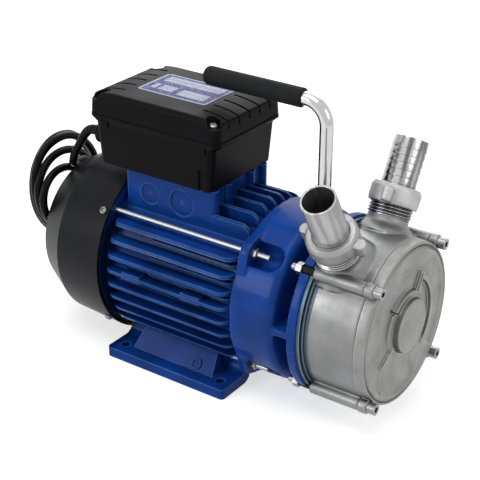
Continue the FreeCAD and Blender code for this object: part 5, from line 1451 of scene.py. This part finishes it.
@dataclass
class CrossScrews:
    """Domed screws: the height of a head is a dome over the radius less a cross-shaped dent."""

    name: str
    node: str
    head_radius: float
    head_height: float
    shank_radius: float
    shank_length: float
    arm_half: float = 0.62
    arm_reach: float = 2.0
    first_turn: float = 17.0
    next_turn: float = 31.0

    def head(self, spin_degrees: float) -> np.ndarray:
        """One screw in its own frame, with its seat at height 0.

        Args:
            spin_degrees: Turn of the cross.

        Returns:
            Grid of points, from the head's middle to the shank's end.
        """
        turn = np.linspace(0.0, 2 * math.pi, 72, endpoint=False)
        radius = np.linspace(0.0, self.head_radius, 26)[:, None]
        a = turn + math.radians(spin_degrees)
        x, y = np.abs(radius * np.cos(a)), np.abs(radius * np.sin(a))
        arms = np.maximum(1 - smooth(self.arm_half - 0.15, self.arm_half + 0.15, x),
                          1 - smooth(self.arm_half - 0.15, self.arm_half + 0.15, y))
        arms = arms * (1 - smooth(self.arm_reach - 0.25, self.arm_reach + 0.15, radius))
        share = radius / self.head_radius
        dome = self.head_height * (1 - 0.62 * share ** 2.6)
        top = dome - arms * self.head_height * 0.55 * (1 - 0.45 * radius / self.arm_reach)
        rows = [circled(radius, turn, top)]
        for r, z in ((self.head_radius, 0.0), (self.shank_radius, 0.0),
                     (self.shank_radius, -self.shank_length), (0.0, -self.shank_length)):
            rows.append(circled(r, turn, z)[None])
        return np.concatenate(rows)

    def build(self, axes: list[Axis], material: Material) -> None:
        """Make one piece with a screw on each axis.

        Args:
            axes: Axis of each screw, out of the head.
            material: Their material.
        """
        shell = Shell(self.name)
        for number, axis in enumerate(axes):
            shell.grid(axis.set(self.head(self.first_turn + self.next_turn * number)), False, True)
        shell.piece("zinc_steel", material, 34.0, (self.node,))


def bolt_sleeves(material: Material) -> None:
    """Black sleeves on the casing bolts, between the flange and the casing's bosses.

    Args:
        material: Their material.
    """
    profile = filleted([(2.52, 108.75, 0.1), (2.9, 108.75, 0.2), (2.9, 117.95, 0.2), (2.52, 117.95, 0.1)])
    shell = Shell("bolt_sleeves")
    for axis in Axis.four(FrontCover().ear_circle):
        shell.grid(axis.turned(profile, 32), True, True)
    shell.piece("black_rubber", material)


# The studio


@dataclass
class Studio:
    """Camera at the photograph's angle, pale floor and soft light."""

    target: Triple = (23.3, 0.0, 95.5)
    azimuth: float = 34.98
    elevation: float = 26.68
    roll: float = 0.25
    distance: float = 969.4
    focal_mm: float = 96.68
    sensor_mm: float = 36.0
    floor_radius: float = 4000.0
    ambient: float = 0.22
    backdrop: float = 1.0
    lamps: tuple = (
        ("overhead", -10.0, 76.0, 1300.0, 900.0, 7.0),
        ("key_left", -30.0, 20.0, 1500.0, 600.0, 6.0),
        ("fill_right", 88.0, 28.0, 1500.0, 700.0, 3.0),
        ("rim_behind", 205.0, 34.0, 1500.0, 1100.0, 8.0),
    )

    @staticmethod
    def away(azimuth: float, elevation: float) -> np.ndarray:
        """Direction from the target, with azimuth 0 at -Y."""
        a, e = math.radians(azimuth), math.radians(elevation)
        return np.array([math.sin(a) * math.cos(e), -math.cos(a) * math.cos(e), math.sin(e)])

    def stand(self, name: str, data: bpy.types.ID, right: np.ndarray, back: np.ndarray,
              distance_mm: float) -> bpy.types.Object:
        """Place a camera or lamp so that it looks at the target.

        Args:
            name: Name of the object.
            data: Camera or lamp.
            right: Its direction to the right.
            back: Direction from the target to it.
            distance_mm: Distance from the target.

        Returns:
            The object.
        """
        where = (np.array(self.target) + back * distance_mm) * MM
        turn = np.stack([right, np.cross(back, right), back], 1)
        made = linked(name, data)
        rows = [[*row, place] for row, place in zip(turn, where)]
        made.matrix_world = Matrix([*rows, [0.0, 0.0, 0.0, 1.0]])
        return made

    def camera(self) -> None:
        """Make the camera: it looks at the target from its azimuth and elevation."""
        a, r = math.radians(self.azimuth), math.radians(self.roll)
        back = self.away(self.azimuth, self.elevation)
        level = np.array([math.cos(a), math.sin(a), 0.0])
        right = math.cos(r) * level + math.sin(r) * np.cross(back, level)
        lens = bpy.data.cameras.new("camera")
        lens.sensor_width = self.sensor_mm
        lens.lens = self.focal_mm
        lens.clip_start = 0.05
        lens.clip_end = 50.0
        bpy.context.scene.camera = self.stand("camera", lens, right, back, self.distance)

    def floor(self) -> None:
        """Large level disc under the feet."""
        turn = np.linspace(0.0, 2 * math.pi, 96, endpoint=False)
        radius = np.linspace(0.0, self.floor_radius, 12)[:, None]
        points = circled(radius, turn, 0.0) * MM
        mesh = bpy.data.meshes.new("floor")
        mesh.from_pydata(points.reshape(-1, 3).tolist(), [], quads(12, 96, False, True).tolist())
        mesh.materials.append(FloorPaper().build())
        made = linked("floor", mesh)

    def lamp(self, name: str, azimuth: float, elevation: float, distance_mm: float, size_mm: float,
             watts: float) -> None:
        """Square soft lamp that looks at the target.

        Args:
            name: Name of the lamp.
            azimuth: Its angle round the object.
            elevation: Its angle above the floor.
            distance_mm: Distance from the target.
            size_mm: Side of the square.
            watts: Power.
        """
        back = self.away(azimuth, elevation)
        side = np.cross((0.0, 0.0, 1.0), back)
        data = bpy.data.lights.new(name, "AREA")
        data.shape = "SQUARE"
        data.size = size_mm * MM
        data.energy = watts
        self.stand(name, data, side / np.linalg.norm(side), back, distance_mm)

    def world(self) -> None:
        """Even pale surroundings, brighter where the camera and reflections see them."""
        world = bpy.data.worlds.new("surroundings")
        world.use_nodes = True
        tree = world.node_tree
        tree.nodes.clear()
        ray = tree.nodes.new("ShaderNodeLightPath")
        shown = ray.outputs["Is Camera Ray"]
        for other in ("Is Glossy Ray", "Is Transmission Ray"):
            either = tree.nodes.new("ShaderNodeMath")
            either.operation = "MAXIMUM"
            tree.links.new(shown, either.inputs[0])
            tree.links.new(ray.outputs[other], either.inputs[1])
            shown = either.outputs[0]
        pick = tree.nodes.new("ShaderNodeMixShader")
        tree.links.new(shown, pick.inputs[0])
        for socket, strength in enumerate((self.ambient, self.backdrop), 1):
            glow = tree.nodes.new("ShaderNodeBackground")
            glow.inputs["Color"].default_value = (1.0, 1.0, 1.0, 1.0)
            glow.inputs["Strength"].default_value = strength
            tree.links.new(glow.outputs[0], pick.inputs[socket])
        out = tree.nodes.new("ShaderNodeOutputWorld")
        tree.links.new(pick.outputs[0], out.inputs["Surface"])
        bpy.context.scene.world = world

    def build(self) -> None:
        """Make all of it."""
        self.camera()
        self.floor()
        self.world()
        for lamp in self.lamps:
            self.lamp(*lamp)
        bpy.context.scene.view_settings.view_transform = "Standard"


# The mains cord


@dataclass
class MainsCord:
    """Cord from the gland: lead, four hanging turns and a short tail to the plug, on one spline.

    A turn's place is its centre plus the radius times cosine and sine of the angle, in the plane across
    the shaft. Each row of turns gives the half turns so far, x, the centre's y and z and the radius, and
    these ease from row to row.
    """

    radius: float = 3.2
    lead: tuple = (
        (-94.5, -20.0, 163.0), (-100.8, -20.0, 163.0), (-106.4, -20.0, 160.2), (-110.8, -20.2, 154.4),
        (-114.8, -20.8, 147.0), (-119.2, -21.8, 139.0), (-122.8, -21.0, 130.6), (-129.1, -13.5, 124.6),
        (-132.0, -3.5, 123.6), (-134.2, 6.5, 121.0), (-134.6, 11.5, 113.0),
    )
    tail: tuple = (
        (-155.6, 33.5, 115.8), (-155.0, 37.5, 107.6), (-153.6, 41.2, 99.2), (-151.4, 43.6, 89.8),
        (-149.0, 44.0, 80.1),
    )
    turns: tuple = (
        (0.0, -134.4, -16.5, 99.4, 29.0), (0.5, -132.4, -19.5, 96.5, 27.6),
        (1.0, -132.0, -24.6, 101.5, 23.0), (1.6, -133.0, -25.0, 100.6, 23.0),
        (2.5, -139.6, -15.5, 98.5, 30.0), (3.1, -141.0, -14.0, 104.6, 29.8),
        (3.6, -141.4, -15.5, 104.6, 28.2), (4.5, -146.4, -3.0, 96.0, 41.5),
        (5.0, -147.4, -0.4, 103.4, 40.4), (5.3, -147.4, -6.4, 110.2, 34.6),
        (5.65, -147.6, -5.6, 107.8, 33.5), (6.1, -148.6, -3.3, 98.6, 39.6),
        (6.6, -153.2, 5.4, 96.6, 47.2), (7.0, -154.4, 5.2, 98.6, 41.0),
        (7.35, -154.4, -1.2, 104.4, 34.8), (8.0, -156.0, -2.0, 98.6, 40.6),
    )
    start_degrees: float = 10.0
    end_degrees: float = 34.0
    points_per_turn: int = 14
    length: float = 985.6
    relief_length: float = 22.0
    relief_radius: float = 3.95
    relief_taper: float = 0.55
    relief_ring_pitch: float = 3.2
    relief_ring_height: float = 0.06

    def coil(self) -> np.ndarray:
        """Turns of the cord, from just after the lead to just before the tail.

        Returns:
            Control points, in millimetres.
        """
        keys = np.array(self.turns)
        halves = keys[-1, 0]
        count = int(halves) // 2 * self.points_per_turn
        lap = np.linspace(0.0, halves, count, endpoint=False)
        first = np.searchsorted(keys[:, 0], lap, side="right") - 1
        part = smooth(keys[first, 0], keys[first + 1, 0], lap)[:, None]
        x, y, z, radius = (keys[first, 1:] * (1 - part) + keys[first + 1, 1:] * part).T
        sweep = math.pi * halves - math.radians(self.end_degrees - self.start_degrees)
        angle = math.radians(self.start_degrees) - sweep * lap / halves
        return np.stack([x, y + radius * np.cos(angle), z + radius * np.sin(angle)], 1)

    def route(self) -> np.ndarray:
        """Control points of the whole cord, in millimetres."""
        return np.concatenate([np.array(self.lead), self.coil(), np.array(self.tail)])

    def build(self, material: Material) -> bpy.types.Object:
        """Make the cord as one curve.

        Args:
            material: Its material.

        Returns:
            The curve.
        """
        points = self.route() * MM
        curve = bpy.data.curves.new("mains_cord", "CURVE")
        curve.dimensions = "3D"
        curve.resolution_u = 6
        curve.bevel_depth = self.radius * MM
        curve.bevel_resolution = 4
        curve.use_fill_caps = True
        spline = curve.splines.new("NURBS")
        spline.points.add(len(points) - 1)
        spline.points.foreach_set("co", np.column_stack([points, np.ones(len(points))]).ravel())
        spline.order_u = 3
        spline.use_endpoint_u = True
        curve.materials.append(material)
        made = linked("mains_cord", curve)
        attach(made, Body.FRAME.value)
        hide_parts("power_cord_lead", "power_cord_coil", "power_cord_tail")
        return made

    def centreline(self, cord: bpy.types.Object) -> np.ndarray:
        """Read the spline itself, from a copy without its thickness.

        Args:
            cord: The cord's curve.

        Returns:
            Its points, in millimetres.
        """
        bare = cord.copy()
        bare.data = cord.data.copy()
        bare.data.bevel_depth = 0.0
        bare.data.use_fill_caps = False
        mesh = bpy.data.meshes.new_from_object(bare)
        places = np.zeros(len(mesh.vertices) * 3, np.float32)
        mesh.vertices.foreach_get("co", places)
        bpy.data.meshes.remove(mesh)
        bpy.data.curves.remove(bare.data)
        return places.reshape(-1, 3).astype(float) / MM

    def relief(self, cord: bpy.types.Object, material: Material) -> bpy.types.Object:
        """Tapered rubber sleeve over the start of the cord, with shallow rings.

        Args:
            cord: The cord's curve.
            material: Its material.

        Returns:
            The sleeve.
        """
        line = self.centreline(cord)
        along = np.concatenate([[0.0], np.cumsum(np.linalg.norm(np.diff(line, axis=0), axis=1))])
        s = np.linspace(0.0, self.relief_length, 89)
        path = np.stack([np.interp(s, along, line[:, k]) for k in range(3)], 1)
        ringed = (s > 2.0) * (s < self.relief_length - 1.5)
        rings = self.relief_ring_height * np.cos(s * 2 * math.pi / self.relief_ring_pitch) * ringed
        outer = self.relief_radius - self.relief_taper * (s / self.relief_length) ** 0.8 + rings
        turn = np.linspace(0.0, 2 * math.pi, 32, endpoint=False)
        circle = np.stack([np.cos(turn), np.sin(turn)], 1)
        skin = carried(circle, path, outer)
        bore = carried(circle, path[::-1], np.full(len(s), self.radius - 0.15))[:, ::-1]
        shell = Shell("cord_relief").grid(np.concatenate([skin, bore]), True, True)
        return shell.piece("black_rubber", material)


# Finishes of the CAD nodes


def paint_node(name: str, material: Material) -> None:
    """Give a CAD node its finish on every slot.

    Args:
        name: Name of the node.
        material: Its finish.
    """
    node = bpy.data.objects[name]
    node.data.materials.clear()
    node.data.materials.append(material)
    LOG.info("%s: finish %s", name, material.name)


def made_by(finish: "PaintedCasting | MouldedPlastic | CastStainless | TurnedSteel | PlatedSteel"
                    " | FoamRubber | SoftRubber | PlainMetal") -> Material:
    """Dataclass field whose material the finish builds when all of them are made."""
    return field(default_factory=finish.build)


@dataclass
class Finishes:
    """All materials, built once."""

    paint: Material = made_by(PaintedCasting())
    # Painted light: the bracket has a lighter copy of the housing's paint, as light falls on it
    bracket: Material = made_by(
        PaintedCasting("bracket_gloss_paint", (0.0075, 0.072, 0.405), coat=0.15))
    box: Material = made_by(MouldedPlastic("box_plastic"))
    cowl: Material = made_by(MouldedPlastic(
        "cowl_plastic", (0.0048, 0.0052, 0.0072), roughness=0.28, edge_mm=0.6, gloss=0.13))
    stainless: Material = made_by(CastStainless())
    # Painted light: one cast stainless for both union nuts, a darker copy near and a lighter one far
    near_nut_painted_shade: Material = made_by(CastStainless("near_nut_cast_stainless", (0.38, 0.38, 0.378)))
    far_nut_painted_light: Material = made_by(CastStainless("far_nut_cast_stainless", (0.50, 0.50, 0.50), roughness=0.5))
    zinc: Material = made_by(PlatedSteel("zinc_plate"))
    rods: Material = made_by(
        PlatedSteel("drawn_rod", (0.34, 0.36, 0.385), roughness=0.31, wear=0.2, shade_and_grime=0.0))
    chrome: Material = made_by(
        PlatedSteel("chrome_plate", (0.55, 0.55, 0.555), roughness=0.10, wear=0.12, shade_and_grime=0.0))
    cover: Material = made_by(CastStainless(
        "cover_cast_stainless", (0.275, 0.275, 0.272), wall_shade_and_skin=0.8, edge_mm=1.6))
    # Painted reflection: rim and seal plate are tinted blue-grey for the blue flange mirrored in them
    stained_and_reflecting: Material = made_by(CastStainless("stained_rim_steel", (0.07, 0.125, 0.17)))
    turned: Material = made_by(TurnedSteel("turned_steel"))
    near_tail: Material = made_by(TurnedSteel(
        "near_tail_steel", PORT_CENTRE, -PORT_LEAN, (0.38, 0.38, 0.38),
        roughness=0.32, line_mm=0.03, reflection_streaks=0.35))
    far_tail: Material = made_by(TurnedSteel(
        "far_tail_steel", PORT_CENTRE, PORT_LEAN, (0.52, 0.52, 0.53),
        roughness=0.16, line_mm=0.015, reflection_streaks=0.78))
    turned_thread: Material = made_by(
        PlatedSteel("bright_thread", (0.45, 0.45, 0.455), roughness=0.14, wear=0.2, edge_mm=0.15))
    foam: Material = made_by(FoamRubber())
    rubber: Material = made_by(SoftRubber("gasket_rubber"))
    cord: Material = made_by(
        SoftRubber("cord_pvc", (0.0028, 0.0028, 0.0032), roughness=0.24, gloss=0.08))
    alloy: Material = made_by(PlainMetal("die_cast_alloy", (0.66, 0.66, 0.66)))
    stack: Material = made_by(
        PlainMetal("sheet_stack", (0.36, 0.36, 0.37), roughness=0.4, stripes_per_mm=1.0))
    copper: Material = made_by(
        PlainMetal("varnished_copper", (0.62, 0.25, 0.10), roughness=0.3, stripes_per_mm=0.6))
    brass: Material = made_by(PlainMetal("cast_brass", (0.70, 0.50, 0.22)))
    carbon: Material = made_by(MouldedPlastic("lapped_carbon", (0.03, 0.03, 0.032), roughness=0.3))

    def apply(self) -> None:
        """Give every CAD node its finish."""
        plan = {
            self.paint: ("motor_housing", "rear_end_shield"),
            self.bracket: ("pump_bracket",),
            self.box: ("terminal_box_base", "terminal_box_lid", "terminal_block", "cable_gland_body",
                       "cable_gland_nut"),
            self.cowl: ("fan_cover", "cooling_fan", "power_plug"),
            self.stained_and_reflecting: ("seal_plate",),
            self.stainless: ("pump_casing", "front_cover", "port_plate"),
            self.near_nut_painted_shade: ("suction_union_nut",),
            self.far_nut_painted_light: ("delivery_union_nut",),
            self.rods: ("tie_rods",),
            self.zinc: ("tie_rod_nuts", "casing_bolts", "casing_bolt_nuts", "lid_screws", "box_screws",
                        "fan_cover_screws", "handle_lock_nut", "wave_spring"),
            self.chrome: ("handle_bar",),
            self.near_tail: ("suction_hose_tail",),
            self.far_tail: ("delivery_hose_tail",),
            self.turned: ("motor_shaft", "front_bearing_outer_ring", "front_bearing_inner_ring",
                          "front_bearing_balls", "rear_bearing_outer_ring", "rear_bearing_inner_ring",
                          "rear_bearing_balls", "wheel_key"),
            self.foam: ("handle_grip",),
            self.rubber: ("lid_gasket", "seat_gasket", "shaft_slinger", "rear_seal_ring", "front_seal_ring",
                          "suction_gasket", "delivery_gasket"),
            self.cord: ("power_cord_lead", "power_cord_coil", "power_cord_tail"),
            self.alloy: ("rotor_core", "run_capacitor"),
            self.stack: ("stator_core",),
            self.copper: ("stator_windings",),
            self.brass: ("pump_wheel",),
            self.carbon: ("seal_seat", "seal_head"),
        }
        for material, names in plan.items():
            for name in names:
                paint_node(name, material)


def main() -> None:
    """Build the scene in order."""
    logging.basicConfig(level=logging.INFO, format="%(name)s %(message)s")
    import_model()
    Studio().build()
    finishes = Finishes()
    finishes.apply()
    PortFittings().build(finishes)
    FrontCover().build(finishes.cover)
    PumpCasing().build(finishes.stainless, finishes.stained_and_reflecting)
    PumpBracket().build(finishes.bracket)
    HousingMarks().build(finishes.paint)
    lid = BoxLid()
    lid.build(finishes.box)
    RatingLabel().build(lid)
    lid_axes = [Axis.upright(lid.middle + x * lid.screw_x, y * lid.screw_y, lid.pocket_floor)
                for x in (1, -1) for y in (1, -1)]
    CrossScrews("lid_screws_turned", "lid_screws", head_radius=3.5, head_height=2.4, shank_radius=1.7,
                shank_length=25.0).build(lid_axes, finishes.zinc)
    cover_axes = [Axis.radial(-64.0, 70.75, angle) for angle in (49.5, -49.5, 130.5, -130.5)]
    CrossScrews("fan_cover_screws_turned", "fan_cover_screws", head_radius=2.9, head_height=2.1,
                shank_radius=1.4, shank_length=8.0, arm_half=0.5, arm_reach=1.8).build(
                    cover_axes, finishes.zinc)
    bolt_sleeves(finishes.rubber)
    cord = MainsCord()
    line = cord.build(finishes.cord)
    relief = cord.relief(line, finishes.cord)


if __name__ == "__main__":
    main()
